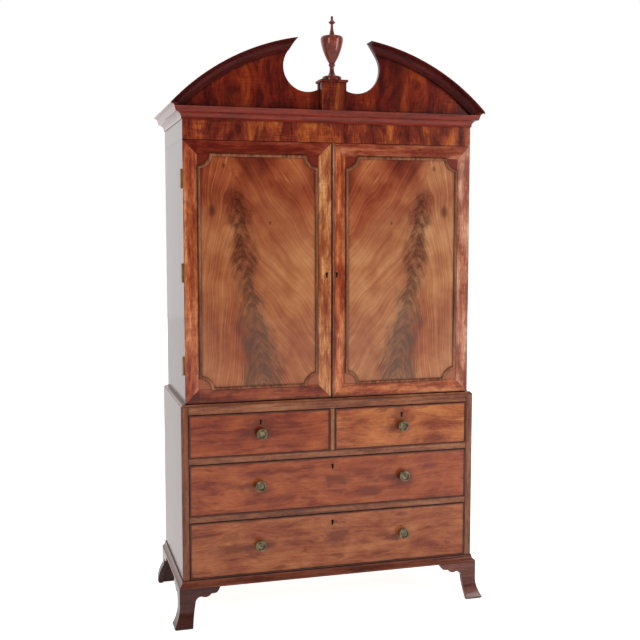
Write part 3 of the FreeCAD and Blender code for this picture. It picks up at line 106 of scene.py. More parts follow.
def gapTo(tree, vector, place, sizes):
    # distance from a place, with each axis stretched
    gap = put(tree, "VectorMath", {0: vector, 1: place}, operation="SUBTRACT").outputs[0]
    gap = put(tree, "VectorMath", {0: stretch(tree, gap, sizes)}, operation="LENGTH")
    return gap.outputs["Value"]


def noise(tree, vector, detail=2.0, roughness=0.5, distortion=0.0):
    return put(tree, "TexNoise", {"Vector": vector, "Scale": 1.0, "Detail": detail,
                                  "Roughness": roughness, "Distortion": distortion}).outputs[0]


def speckle(tree, vector, cells, **settings):
    # noise with so many cells to a metre, one number for all directions or one for each
    sizes = cells if isinstance(cells, tuple) else (cells, cells, cells)
    return noise(tree, stretch(tree, vector, sizes), **settings)


def remap(tree, value, low, high, toLow=0.0, toHigh=1.0):
    return put(tree, "MapRange", {0: value, 1: low, 2: high, 3: toLow, 4: toHigh},
               interpolation_type="SMOOTHSTEP").outputs[0]


def paint(text):
    # six hex digits as seen on screen, turned into linear light
    levels = [int(text[place:place + 2], 16) / 255 for place in (0, 2, 4)]
    return [level / 12.92 if level < 0.04045 else ((level + 0.055) / 1.055) ** 2.4
            for level in levels] + [1.0]


def blendColor(tree, amount, first, second, mode="MIX"):
    return put(tree, "Mix", {0: amount, 6: first, 7: second}, data_type="RGBA",
               blend_type=mode).outputs[2]


def ramp(tree, value, places, tints):
    made = put(tree, "ValToRGB", {0: value})
    ends = made.color_ramp.elements
    while len(ends) < len(places):
        ends.new(0.5)
    for end, place, tint in zip(ends, places, tints):
        end.position = place
        end.color = paint(tint)
    return made.outputs[0]


def newGroup(name, inputs, outputs):
    tree = bpy.data.node_groups.new(name, "ShaderNodeTree")
    for label, start in inputs.items():
        kind = "NodeSocketVector" if isinstance(start, tuple) else "NodeSocketFloat"
        socket = tree.interface.new_socket(label, in_out="INPUT", socket_type=kind)
        socket.default_value = start
    for label in outputs:
        tree.interface.new_socket(label, in_out="OUTPUT", socket_type="NodeSocketFloat")
    have = tree.nodes.new("NodeGroupInput").outputs
    return tree, have, tree.nodes.new("NodeGroupOutput").inputs


def useGroup(tree, group, inputs):
    return put(tree, "Group", inputs, node_tree=group).outputs


# shared effects

grainCells = {
    # noise cells to a metre along the grain, across it and into the board
    "drift": (2.6, 7.0, 7.0), "streaks": (3.6, 88.0, 60.0), "flecks": (42.0, 190.0, 120.0),
    "patches": (6.0, 9.0, 9.0), "fibre": (16.0, 600.0, 600.0), "pores": (60.0, 1500.0, 1500.0),
    "bandDepth": 12.0, "rippleAcross": 0.14,
}
grainMix = {
    # how strong the flecks are, and where patches, pores and mottle start and are full
    "flecks": 0.55, "patches": (0.35, 0.65), "pores": (0.60, 0.70), "mottle": (0.0, 0.16),
}


def makeGrain():
    # wood that runs along the first axis: bands, streaks, fibre, pores, cross ripple and mottle
    tree, have, give = newGroup(
        "woodGrain",
        {"Place": (0.0, 0.0, 0.0), "Bands": 1.6, "Band Pitch": 14.0, "Band Run": 0.16,
         "Streaks": 0.8, "Ripple": 0.2, "Ripple Pitch": 120.0, "Wander": 0.02,
         "Mottle Size": (16.0, 70.0, 30.0), "Mottle From": 0.55},
        ["Shade", "Fibre", "Pore", "Mottle"])
    place = have["Place"]
    along, across, deep = split(tree, place)
    drift = speckle(tree, place, grainCells["drift"])
    across = add(tree, across, swing(tree, drift, have["Wander"]))
    bent = join(tree, along, across, deep)
    pitch = have["Band Pitch"]
    bands = join(tree, times(tree, along, times(tree, pitch, have["Band Run"])),
                 times(tree, across, pitch), times(tree, deep, grainCells["bandDepth"]))
    bands = noise(tree, bands, detail=3, roughness=0.55)
    streaks = speckle(tree, bent, grainCells["streaks"], detail=4, roughness=0.62)
    flecks = speckle(tree, bent, grainCells["flecks"], detail=3, roughness=0.6)
    pitch = have["Ripple Pitch"]
    ripple = join(tree, times(tree, along, pitch),
                  times(tree, across, times(tree, pitch, grainCells["rippleAcross"])), deep)
    ripple = less(tree, noise(tree, ripple, detail=2), 0.5)
    patches = remap(tree, speckle(tree, place, grainCells["patches"]), *grainMix["patches"])
    shade = add(tree, 0.5, swing(tree, flecks, grainMix["flecks"]),
                swing(tree, bands, have["Bands"]), swing(tree, streaks, have["Streaks"]),
                times(tree, times(tree, ripple, patches), have["Ripple"]))
    tree.links.new(shade, give["Shade"])
    tree.links.new(speckle(tree, bent, grainCells["fibre"], roughness=0.6), give["Fibre"])
    pores = speckle(tree, bent, grainCells["pores"], detail=1)
    tree.links.new(remap(tree, pores, *grainMix["pores"]), give["Pore"])
    spots = noise(tree, stretch(tree, bent, have["Mottle Size"]), detail=3, roughness=0.55,
                  distortion=0.3)
    level = less(tree, spots, have["Mottle From"])
    tree.links.new(remap(tree, level, *grainMix["mottle"]), give["Mottle"])
    return tree


crevice = {
    # rays for each place, how strongly the painted shade and dirt gather in corners, its share
    # without and with full cloud, and where rubbed edges start and are full
    "rays": 6, "gather": 1.35, "even": 0.75, "cloud": 0.5, "worn": (0.4, 0.7), "cells": 25.0,
}


def closedIn(tree, distance, inside=False):
    # how far other faces shut a place in, or how near it lies to an edge when seen from inside
    opened = put(tree, "AmbientOcclusion", {"Distance": distance}, samples=crevice["rays"],
                 inside=inside)
    return less(tree, 1.0, opened.outputs["AO"])


def makeCrevice():
    # painted shade and old polish gathered in corners, and rubbed outer edges
    tree, have, give = newGroup(
        "creviceAndWear", {"Place": (0.0, 0.0, 0.0), "Reach": 0.012, "Edge": 0.002},
        ["Dirt", "Wear"])
    spots = speckle(tree, have["Place"], crevice["cells"], detail=3)
    # painted shade, with some dirt: darker where other faces shut a place in
    hollow = times(tree, closedIn(tree, have["Reach"]), crevice["gather"])
    share = add(tree, crevice["even"], times(tree, spots, crevice["cloud"]))
    tree.links.new(calc(tree, "MULTIPLY", hollow, share, clamp=True), give["Dirt"])
    rim = closedIn(tree, have["Edge"], inside=True)
    wear = calc(tree, "MULTIPLY", rim, remap(tree, spots, *crevice["worn"]), clamp=True)
    tree.links.new(wear, give["Wear"])
    return tree


feather = {
    # metres across from the panel's middle to the meeting side, and up from its foot
    "spineFoot": 0.020, "spineLean": -0.145, "spineSway": 0.030, "seam": 0.012, "warp": 0.24,
    # how steeply barbs fall: straight ones, with a rounded tip, and curved ones by distance and
    # by its square; then the arches that bar the heart
    "straight": 1.7, "tip": 0.0002, "curved": (1.5, 9.0), "arches": (0.5, 14.0),
    # heights where the heart starts to widen downwards and is widest, and half its width at both;
    # then the heights over which it grows narrower, and by how much
    "heartFrom": (0.36, 0.0), "heartHalf": (0.058, 0.094), "heartNarrows": (0.66, 0.86),
    "heartNarrower": -0.03, "heartEnd": (0.78, 0.83), "heartEdge": (-0.044, 0.014),
    # how far its outline and its end are ragged, and how clearly it is barred
    "heartRag": 0.13, "heartBars": 0.02, "endRag": 0.10, "barred": (0.36, 0.60, 0.50, 1.0),
    # knots: (across, up) and how ragged each is, which also sets its size
    "knots": (((-0.140, 0.893), 0.008), ((-0.188, 0.715), 0.017), ((0.046, 0.669), 0.006)),
    "knotShape": (1.2, 0.8, 0.0), "knotEdge": (0.3, 1.7),
    # corners that take the painted shadow outside the astragal
    "corners": [(across, up) for up in (0.002, 0.9405) for across in (-0.2455, 0.2455)],
    "cornerShadeReach": (0.048, 0.053),
    # barbs to a metre, and noise cells to a metre beside the spine
    "broad": (13.0, 4.0), "fine": (55.0, 4.0), "line": (26.0, 3.2), "hair": (210.0, 6.0),
    "bars": (48.0, 34.0), "swayCells": 5.0, "warpCells": (5.5, 3.4, 1.0),
    "cloudCells": (7.0, 6.0, 1.0), "ragCells": (22.0, 13.0, 1.0), "hereCells": (9.0, 6.0, 4.0),
    # how strong each is, or how strong on the hinge side and on the meeting side
    "cloudShare": 1.1, "broadShare": 0.42, "fineShare": (0.8, 0.62), "lineShare": (1.0, 0.55),
    "crossing": (-0.02, 0.03), "lineHalf": 0.016, "lineHere": (0.40, 0.58),
    # where each noise starts, so that no two are alike
    "swayStart": 3.7, "meetingStart": 7.0, "lineStart": 2.0, "barStart": 1.3,
}


def makeFeather():
    # crotch figure: barbs fall away on both sides of a wandering spine
    tree, have, give = newGroup("featherFigure", {"Place": (0.0, 0.0, 0.0)},
                                ["Shade", "Line", "Heart", "Hair", "Knots", "CornerShade"])
    place = have["Place"]
    across, up, _ = split(tree, place)
    sway = noise(tree, join(tree, 0.0, times(tree, up, feather["swayCells"]),
                            feather["swayStart"]))
    spine = add(tree, feather["spineFoot"], times(tree, up, feather["spineLean"]),
                swing(tree, sway, feather["spineSway"]))
    side = less(tree, across, spine)
    wide = calc(tree, "ABSOLUTE", side)
    square = times(tree, wide, wide)
    # straight barbs on the meeting side and curved ones on the hinge side
    meeting = remap(tree, side, -feather["seam"], feather["seam"])
    rounded = calc(tree, "SQRT", add(tree, square, feather["tip"]))
    straight = times(tree, rounded, feather["straight"])
    slope, bend = feather["curved"]
    curved = add(tree, times(tree, wide, slope), times(tree, square, bend))
    fall = add(tree, times(tree, straight, meeting),
               times(tree, curved, less(tree, 1.0, meeting)))
    warp = speckle(tree, place, feather["warpCells"], detail=1)
    barb = add(tree, up, fall, swing(tree, warp, feather["warp"]))
    seed = times(tree, meeting, feather["meetingStart"])

    def barbNoise(kind, start, **settings):
        pitch, spread = feather[kind]
        where = join(tree, times(tree, barb, pitch), times(tree, wide, spread), start)
        return noise(tree, where, **settings)

    cloud = speckle(tree, place, feather["cloudCells"], detail=3, roughness=0.55)
    broad = barbNoise("broad", seed, detail=3)
    fine = barbNoise("fine", seed, detail=4, roughness=0.65)
    fineShare = remap(tree, side, *feather["crossing"], *feather["fineShare"])
    shade = add(tree, 0.5, swing(tree, cloud, feather["cloudShare"]),
                swing(tree, broad, feather["broadShare"]), swing(tree, fine, fineShare))
    tree.links.new(shade, give["Shade"])
    tree.links.new(barbNoise("hair", seed, detail=3), give["Hair"])
    # thin pale lines where a slow noise crosses its middle
    slow = barbNoise("line", add(tree, seed, feather["lineStart"]), detail=2)
    ridge = calc(tree, "ABSOLUTE", less(tree, slow, 0.5))
    line = remap(tree, ridge, 0.0, feather["lineHalf"], 1.0, 0.0)
    here = remap(tree, speckle(tree, place, feather["hereCells"]), *feather["lineHere"])
    lineShare = remap(tree, side, *feather["crossing"], *feather["lineShare"])
    tree.links.new(times(tree, times(tree, line, here), lineShare), give["Line"])
    # the dark heart along the spine, ragged and barred by small arches
    slope, bend = feather["arches"]
    arch = add(tree, up, times(tree, wide, slope), times(tree, square, bend))
    pitch, spread = feather["bars"]
    bars = join(tree, times(tree, arch, pitch), times(tree, side, spread), feather["barStart"])
    bars = noise(tree, bars, detail=4, roughness=0.65)
    rag = speckle(tree, place, feather["ragCells"], detail=4, roughness=0.6)
    reach = add(tree, remap(tree, up, *feather["heartFrom"], *feather["heartHalf"]),
                remap(tree, up, *feather["heartNarrows"], 0.0, feather["heartNarrower"]),
                swing(tree, bars, feather["heartBars"]), swing(tree, rag, feather["heartRag"]))
    heart = remap(tree, less(tree, wide, reach), *feather["heartEdge"], 1.0, 0.0)
    end = add(tree, up, swing(tree, rag, feather["endRag"]))
    end = remap(tree, end, *feather["heartEnd"], 1.0, 0.0)
    barred = remap(tree, bars, *feather["barred"])
    tree.links.new(times(tree, times(tree, heart, end), barred), give["Heart"])
    knots = 0.0
    inside, outside = feather["knotEdge"]
    for (x, z), size in feather["knots"]:
        gap = add(tree, gapTo(tree, place, (x, z, 0.0), feather["knotShape"]),
                  swing(tree, rag, size))
        knots = most(tree, knots, remap(tree, gap, size * inside, size * outside, 1.0, 0.0))
    tree.links.new(knots, give["Knots"])
    # painted shadow in the corners outside the hollow corners of the astragal
    corners = 0.0
    for x, z in feather["corners"]:
        gap = gapTo(tree, place, (x, z, 0.0), (1.0, 1.0, 0.0))
        corners = most(tree, corners, remap(tree, gap, *feather["cornerShadeReach"], 1.0, 0.0))
    tree.links.new(corners, give["CornerShade"])
    return tree


grainGroup = makeGrain()
creviceGroup = makeCrevice()
featherGroup = makeFeather()
print("shared effects made")


# materials

woods = {
    # tones run from the darkest band to the palest; spot: colour of the mottle, and mottle: its
    # strength; grain: inputs of the shared grain; coat: how glossy the polish is; rim: how far and
    # how strongly a board's edges are darkened; slot: the record's finish
    "caseMahogany": {
        "tones": ("401710", "5e291a", "773a26", "8e4e35"), "spot": "3a130c", "mottle": 0.25,
        "grain": {"Bands": 1.2, "Band Pitch": 16.0, "Streaks": 0.5, "Ripple": 0.2},
        "rough": 0.42, "coat": 0.9, "slot": "mahogany"},
    "railMahogany": {
        "tones": ("5a2c1c", "7b452e", "95593a", "a9704c"), "spot": "512818", "mottle": 0.3,
        "grain": {"Bands": 1.0, "Band Pitch": 30.0, "Streaks": 1.0, "Ripple": 0.2},
        "rough": 0.45, "coat": 0.8, "rim": (0.005, 0.6), "slot": "mahogany"},
    "frameMahogany": {
        "tones": ("742c18", "9c4c2c", "bd6e46", "d8966a"), "spot": "76281a", "mottle": 0.52,
        "grain": {"Bands": 1.4, "Band Pitch": 34.0, "Streaks": 0.7, "Ripple": 0.25,
                  "Ripple Pitch": 90.0, "Wander": 0.03, "Mottle Size": (14.0, 36.0, 30.0),
                  "Mottle From": 0.47},
        "rough": 0.40, "coat": 1.0, "rim": (0.005, 0.5), "slot": "mahogany"},
    "mouldMahogany": {
        "tones": ("4a1710", "652619", "7c3424", "94483a"), "spot": "3a130c", "mottle": 0.2,
        "grain": {"Bands": 0.8, "Band Pitch": 40.0, "Streaks": 0.8, "Ripple": 0.1},
        "rough": 0.38, "coat": 1.0, "slot": "mahogany"},
    "capMahogany": {
        "tones": ("2c0c09", "481814", "5c241e", "743830"), "spot": "1c0806", "mottle": 0.3,
        "grain": {"Bands": 0.8, "Band Pitch": 40.0, "Streaks": 0.8, "Ripple": 0.1},
        "rough": 0.52, "coat": 0.2, "slot": "mahogany"},
    "drawerMahogany": {
        "tones": ("85391c", "a65a30", "ba6e3e", "cd8850"), "spot": "702a14", "mottle": 0.6,
        "grain": {"Bands": 1.35, "Band Pitch": 17.0, "Band Run": 0.42, "Streaks": 0.7,
                  "Ripple": 0.1, "Wander": 0.09, "Mottle Size": (9.0, 34.0, 20.0),
                  "Mottle From": 0.54},
        "rough": 0.42, "coat": 1.0, "rim": (0.010, 0.62), "slot": "figured_mahogany"},
    "flameMahogany": {
        "tones": ("4c120b", "72261a", "94401f", "b9652f"), "spot": "380b06", "mottle": 0.6,
        "grain": {"Bands": 1.5, "Band Pitch": 14.0, "Band Run": 0.34, "Streaks": 0.4,
                  "Ripple": 0.45, "Ripple Pitch": 150.0, "Wander": 0.16,
                  "Mottle Size": (9.0, 26.0, 20.0), "Mottle From": 0.50},
        "rough": 0.38, "coat": 1.0, "slot": "figured_mahogany"},
    "insidePine": {
        "tones": ("7e593d", "966e4f", "a77e60", "b68f72"), "spot": "5f4430", "mottle": 0.3,
        "grain": {"Bands": 0.9, "Band Pitch": 22.0, "Streaks": 0.6, "Ripple": 0.05},
        "rough": 0.62, "coat": 0.0, "slot": "pine"},
    "insideOak": {
        "tones": ("785239", "93684a", "a87b59", "ba8f6c"), "spot": "5c4026", "mottle": 0.25,
        "grain": {"Bands": 0.9, "Band Pitch": 20.0, "Streaks": 0.7, "Ripple": 0.2},
        "rough": 0.55, "coat": 0.0, "slot": "oak"},
}
woods["plinthMahogany"] = {**woods["flameMahogany"], "rough": 0.5, "coat": 0.25}
toneStops = (0.16, 0.40, 0.60, 0.86)
# dark colours: painted shade with dirt in corners, painted shade with old polish along board
# edges, and the pores
polish = {"ior": 1.15, "coatRough": 0.11, "coatIor": 1.40, "grime": "160705", "rim": "2c0e07",
          "pore": "2a0d08"}
surface = {
    # how strongly each effect of the shared groups shows on every wood
    "fibre": 0.22, "pores": 0.30, "wear": 0.25, "haze": 0.12, "dirtRough": 0.25,
    "hazeCells": 3.0, "fibreHeight": 0.3, "relief": 0.2, "reliefDepth": 0.0002,
}


def newMaterial(name):
    material = bpy.data.materials.new(name)
    material.use_nodes = True
    material.node_tree.nodes.clear()
    return material, material.node_tree


def finishOff(tree, inputs):
    shader = put(tree, "BsdfPrincipled", inputs)
    tree.links.new(shader.outputs[0], put(tree, "OutputMaterial").inputs[0])


def placesIn(tree):
    # the grain's own place, the board's tint and the place in the whole piece
    grain = put(tree, "Attribute", attribute_name="grainPlace").outputs["Vector"]
    board = put(tree, "Attribute", attribute_name="boardTint").outputs["Color"]
    return grain, board, put(tree, "TexCoord").outputs["Object"]


def bumpOf(tree, height, strength):
    return put(tree, "Bump", {"Height": height, "Strength": strength,
                              "Distance": surface["reliefDepth"]}).outputs[0]


def polishOver(tree, tint, rough, normal, coat):
    finishOff(tree, {"Base Color": tint, "Roughness": rough, "Normal": normal,
                     "IOR": polish["ior"], "Coat Weight": coat, "Coat IOR": polish["coatIor"],
                     "Coat Roughness": polish["coatRough"]})


handled = [
    # (x, z) of the middle of a dark place, then its half width and half height
    ((-0.303, 0.800), (0.060, 0.055)), ((0.303, 0.806), (0.045, 0.055)),
    ((-0.355, 0.775), (0.050, 0.020)), ((0.262, 0.766), (0.045, 0.020)),
    ((-0.262, 0.768), (0.040, 0.018)), ((-0.350, 0.556), (0.070, 0.015)),
    ((0.265, 0.552), (0.055, 0.015)), ((0.310, 0.545), (0.040, 0.040)),
    ((0.020, 0.560), (0.060, 0.020)), ((0.160, 0.500), (0.060, 0.020)),
    ((-0.400, 0.300), (0.110, 0.018)), ((0.020, 0.325), (0.055, 0.035)),
    ((0.270, 0.292), (0.050, 0.016)), ((-0.270, 0.305), (0.040, 0.012)),
]
handledLook = {"strength": 0.72, "cells": (22.0, 22.0, 40.0), "rag": 2.4, "edge": (0.35, 1.5)}
rimLook = {"cells": 30.0, "rag": 0.8}


def stains(tree, thing):
    # places on the drawers that hands have darkened, stretched along the grain
    total = 0.0
    cloud = speckle(tree, thing, handledLook["cells"], detail=3, roughness=0.6)
    for (x, z), (wide, high) in handled:
        gap = gapTo(tree, thing, (x, 0.0, z), (1 / wide, 0.0, 1 / high))
        gap = add(tree, gap, swing(tree, cloud, handledLook["rag"]))
        total = most(tree, total, remap(tree, gap, *handledLook["edge"], 1.0, 0.0))
    return total


def rimShade(tree, thing, reach, strength):
    # painted shade along the outer edges of a board's face, where it meets its neighbours, with
    # old polish gathered there
    gaps = put(tree, "Attribute", attribute_name="boardRim").outputs
    left, right, below = split(tree, gaps["Vector"])
    near = calc(tree, "MINIMUM", calc(tree, "MINIMUM", left, right),
                calc(tree, "MINIMUM", below, gaps["Alpha"]))
    spots = speckle(tree, thing, rimLook["cells"], detail=3)
    near = add(tree, near, swing(tree, spots, reach * rimLook["rag"]))
    return times(tree, remap(tree, near, 0.0, reach, 1.0, 0.0), strength)


stileEnds = {
    # heights where the left door's outer stile starts to darken and where it is darkest, and how
    # far out the stile starts
    "above": (1.60, 1.90), "below": (1.16, 0.95), "outside": (-0.545, -0.551),
    "strength": 0.85, "tint": (0.62, 0.36, 0.40, 1.0),
}


def darkenEnds(tree, thing, tint):
    across, _, height = split(tree, thing)
    ends = add(tree, remap(tree, height, *stileEnds["above"]),
               remap(tree, height, *stileEnds["below"]))
    outside = remap(tree, across, *stileEnds["outside"], 0.0, stileEnds["strength"])
    return blendColor(tree, times(tree, ends, outside), tint, stileEnds["tint"], "MULTIPLY")


def woodMaterial(name, spec):
    material, tree = newMaterial(name)
    place, board, thing = placesIn(tree)
    grain = useGroup(tree, grainGroup, {"Place": place, **spec["grain"]})
    hollows = useGroup(tree, creviceGroup, {"Place": thing})
    shade = add(tree, grain["Shade"], swing(tree, grain["Fibre"], surface["fibre"]))
    tint = ramp(tree, shade, toneStops, spec["tones"])
    mottle = times(tree, grain["Mottle"], spec["mottle"])
    if name == "drawerMahogany":
        mottle = most(tree, mottle, times(tree, stains(tree, thing), handledLook["strength"]))
    tint = blendColor(tree, mottle, tint, paint(spec["spot"]))
    pores = times(tree, grain["Pore"], surface["pores"])
    tint = blendColor(tree, pores, tint, paint(polish["pore"]))
    tint = blendColor(tree, 1.0, tint, board, "MULTIPLY")
    if name == "frameMahogany":
        tint = darkenEnds(tree, thing, tint)
    if "rim" in spec:
        # painted shade and old polish along each board's edges
        tint = blendColor(tree, rimShade(tree, thing, *spec["rim"]), tint, paint(polish["rim"]))
    wear = times(tree, hollows["Wear"], surface["wear"])
    tint = blendColor(tree, wear, tint, paint(spec["tones"][-1]))
    # painted shade and dirt in corners and gaps
    tint = blendColor(tree, hollows["Dirt"], tint, paint(polish["grime"]))
    haze = speckle(tree, thing, surface["hazeCells"], detail=3)
    rough = add(tree, spec["rough"], swing(tree, haze, surface["haze"]),
                times(tree, hollows["Dirt"], surface["dirtRough"]))
    height = less(tree, times(tree, grain["Fibre"], surface["fibreHeight"]), grain["Pore"])
    polishOver(tree, tint, rough, bumpOf(tree, height, surface["relief"]), spec["coat"])
    return material


featherFinish = {
    "tones": ("7a3a22", "9c5c39", "b07448", "c6925e"),
    "redTones": ("561a0e", "80341b", "9c502c", "b87042"), "stops": (0.14, 0.40, 0.62, 0.90),
    "heart": ("584232", "584232", "4a2216", "3a0d07"), "heartStops": (0.0, 0.32, 0.52, 0.70),
    # corner: painted shadow in the corners outside the astragal, darker towards the top
    "corner": ("9a5836", "6e2517"), "cornerShadeStops": (0.2, 0.8), "line": "cf8c52",
    "knot": "3a110a",
    # how strongly each of them covers the wood
    "lineShare": 0.70, "heartShare": 0.84, "knotShare": 0.62, "cornerShadeShare": 0.9, "hair": 0.28,
    # pale patches: (across, up) of the middle, then reach and strength
    "pale": (((0.16, 0.46), 0.27, 0.17), ((-0.14, 0.56), 0.17, 0.13)),
    "paleShape": (1.0, 0.7, 0.0),
    # where the red starts and is full, how it wanders, how far pale patches hold it back, and how
    # it leans to the meeting side: a share for both doors, more on the right one, less on the left
    "red": (0.36, 1.0), "redCells": 4.0, "redWander": 0.7, "redHeld": -0.8, "lean": 0.65,
    "leanRight": 0.85,
    # and beside the foot of the heart
    "redFoot": (-0.09, 0.16), "redFootShape": (1.0, 0.5, 0.0), "redFootReach": (0.02, 0.14),
    "redFootShare": 0.55,
    "rough": 0.42, "coat": 1.0, "relief": 0.10, "hazeCells": 4.0,
}


def featherMaterial(name, spec):
    material, tree = newMaterial(name)
    place, board, thing = placesIn(tree)
    figure = useGroup(tree, featherGroup, {"Place": place})
    hollows = useGroup(tree, creviceGroup, {"Place": thing})
    across, up, _ = split(tree, place)
    patches = []
    for (x, z), reach, strength in spec["pale"]:
        gap = gapTo(tree, place, (x, z, 0.0), spec["paleShape"])
        patches.append(remap(tree, gap, 0.0, reach, strength, 0.0))
    pale = add(tree, *patches)
    shade = add(tree, figure["Shade"], swing(tree, figure["Hair"], spec["hair"]), pale)
    warm = ramp(tree, shade, spec["stops"], spec["tones"])
    dark = ramp(tree, shade, spec["stops"], spec["redTones"])
    # redder towards the top and to the left of each door, and beside the foot of the heart
    doorSide = calc(tree, "SIGN", split(tree, thing)[0])
    lean = calc(tree, "MULTIPLY_ADD", doorSide, spec["leanRight"], spec["lean"])
    height = add(tree, up, times(tree, across, lean),
                 swing(tree, speckle(tree, thing, spec["redCells"]), spec["redWander"]),
                 times(tree, pale, spec["redHeld"]))
    foot = gapTo(tree, place, (*spec["redFoot"], 0.0), spec["redFootShape"])
    foot = remap(tree, foot, *spec["redFootReach"], spec["redFootShare"], 0.0)
    redness = most(tree, remap(tree, height, *spec["red"]), foot)
    tint = blendColor(tree, redness, warm, dark)
    heart = ramp(tree, up, spec["heartStops"], spec["heart"])
    # painted shadow for the corners outside the astragal, darker towards the top
    corner = ramp(tree, up, spec["cornerShadeStops"], spec["corner"])
    for label, share, over in (("Line", "lineShare", paint(spec["line"])),
                               ("Heart", "heartShare", heart),
                               ("Knots", "knotShare", paint(spec["knot"])),
                               ("CornerShade", "cornerShadeShare", corner)):
        tint = blendColor(tree, times(tree, figure[label], spec[share]), tint, over)
    tint = blendColor(tree, 1.0, tint, board, "MULTIPLY")
    # painted shade and dirt in corners and gaps
    tint = blendColor(tree, hollows["Dirt"], tint, paint(polish["grime"]))
    haze = speckle(tree, thing, spec["hazeCells"], detail=3)
    rough = add(tree, spec["rough"], swing(tree, haze, surface["haze"]))
    polishOver(tree, tint, rough, bumpOf(tree, figure["Hair"], spec["relief"]), spec["coat"])
    return material


brasses = {
    # worn brass on the knobs, brighter hinges, and the darkened brass of keyholes and locks
    "agedBrass": {"tones": ("3a3325", "6e624a", "aa9c7a"), "rough": 0.40, "metal": 0.65,
                  "grime": 0.8},
    "hingeBrass": {"tones": ("8c7751", "b39a6e", "cbb186"), "rough": 0.42, "metal": 0.25,
                   "grime": 0.1},
    "dullBrass": {"tones": ("17110c", "362a1d", "5d4c33"), "rough": 0.55, "metal": 0.5,
                  "grime": 0.8},
}
brassLook = {"stops": (0.30, 0.48, 0.72), "cloud": 60.0, "speck": 700.0, "speckShare": 0.3,
             "grime": "14110b", "reach": 0.006, "edge": 0.0015, "cloudRough": 0.2,
             "relief": 0.2}


def brassMaterial(name, spec):
    material, tree = newMaterial(name)
    thing = put(tree, "TexCoord").outputs["Object"]
    hollows = useGroup(tree, creviceGroup, {"Place": thing, "Reach": brassLook["reach"],
                                            "Edge": brassLook["edge"]})
    cloud = speckle(tree, thing, brassLook["cloud"], detail=4, roughness=0.6)
    speck = speckle(tree, thing, brassLook["speck"])
    shade = add(tree, cloud, swing(tree, speck, brassLook["speckShare"]))
    tint = ramp(tree, shade, brassLook["stops"], spec["tones"])
    tint = blendColor(tree, hollows["Wear"], tint, paint(spec["tones"][-1]))
    # painted shade together with tarnish in the hollows
    dirtAndShade = times(tree, hollows["Dirt"], spec["grime"])
    tint = blendColor(tree, dirtAndShade, tint, paint(brassLook["grime"]))
    rough = add(tree, spec["rough"], times(tree, cloud, brassLook["cloudRough"]))
    finishOff(tree, {"Base Color": tint, "Roughness": rough, "Metallic": spec["metal"],
                     "Normal": bumpOf(tree, speck, brassLook["relief"])})
    return material


finishes = {name: woodMaterial(name, spec) for name, spec in woods.items()}
finishes["featherMahogany"] = featherMaterial("featherMahogany", featherFinish)
for name, spec in brasses.items():
    finishes[name] = brassMaterial(name, spec)
slotOf = {name: spec["slot"] for name, spec in woods.items()}
slotOf["featherMahogany"] = "figured_mahogany"
print("materials made:", len(finishes))


# each wooden piece is rebuilt from its frame node with eased edges and its own run of grain

boardsOf = {
    # piece: its wood, how far its edges are eased, and the axis that its grain runs along, where
    # None is the longest side of each board
    "lower_side_left": ("caseMahogany", 0.0012, "z"),
    "lower_side_right": ("caseMahogany", 0.0012, "z"),
    "upper_side_left": ("caseMahogany", 0.0012, "z"),
    "upper_side_right": ("caseMahogany", 0.0012, "z"),
    "lower_top_board": ("insidePine", 0.0008, "x"),
    "lower_bottom_board": ("insidePine", 0.0008, "x"),
    "upper_top_board": ("insidePine", 0.0008, "x"),
    "upper_bottom_board": ("insidePine", 0.0008, "x"),
    "lower_back": ("insidePine", 0.0010, "z"),
    "upper_back": ("insidePine", 0.0010, None),
    "drawer_dividers": ("railMahogany", 0.0008, None),
    "drawer_runners": ("insidePine", 0.0008, None),
    "tray_runners": ("insideOak", 0.0008, None),
    "frieze_box": ("flameMahogany", 0.0004, "z"),
    "base_moulding": ("railMahogany", 0.0008, None),
    "waist_moulding": ("railMahogany", 0.0008, None),
    "cornice_moulding": ("mouldMahogany", 0.0005, None),
    "raking_mouldings": ("capMahogany", 0.0005, "arch"),
    "pediment_board": ("flameMahogany", 0.0008, "z"),
    "pediment_plinth": ("plinthMahogany", 0.0008, "z"),
    "urn_finial": ("mouldMahogany", None, "z"),
    "foot_blocks": ("insidePine", 0.0010, "z"),
}
for piece, spec in (("frame", ("frameMahogany", 0.0008, None)),
                    ("panel", ("featherMahogany", 0.0, "feather")),
                    ("astragal", ("railMahogany", 0.0008, None))):
    for side in ("left", "right"):
        boardsOf[f"door_{side}_{piece}"] = spec
for side in ("left", "right"):
    for end in ("front", "rear"):
        boardsOf[f"foot_{end}_{side}"] = ("caseMahogany", 0.0010, "wide")
for place in range(1, 5):
    boardsOf[f"tray_{place}"] = ("insideOak", 0.0010, None)
for drawer in ("short_left", "short_right", "long_upper", "long_lower"):
    boardsOf[f"drawer_{drawer}_front"] = ("drawerMahogany", 0.0008, None)
    boardsOf[f"drawer_{drawer}_box"] = ("insideOak", 0.0006, None)

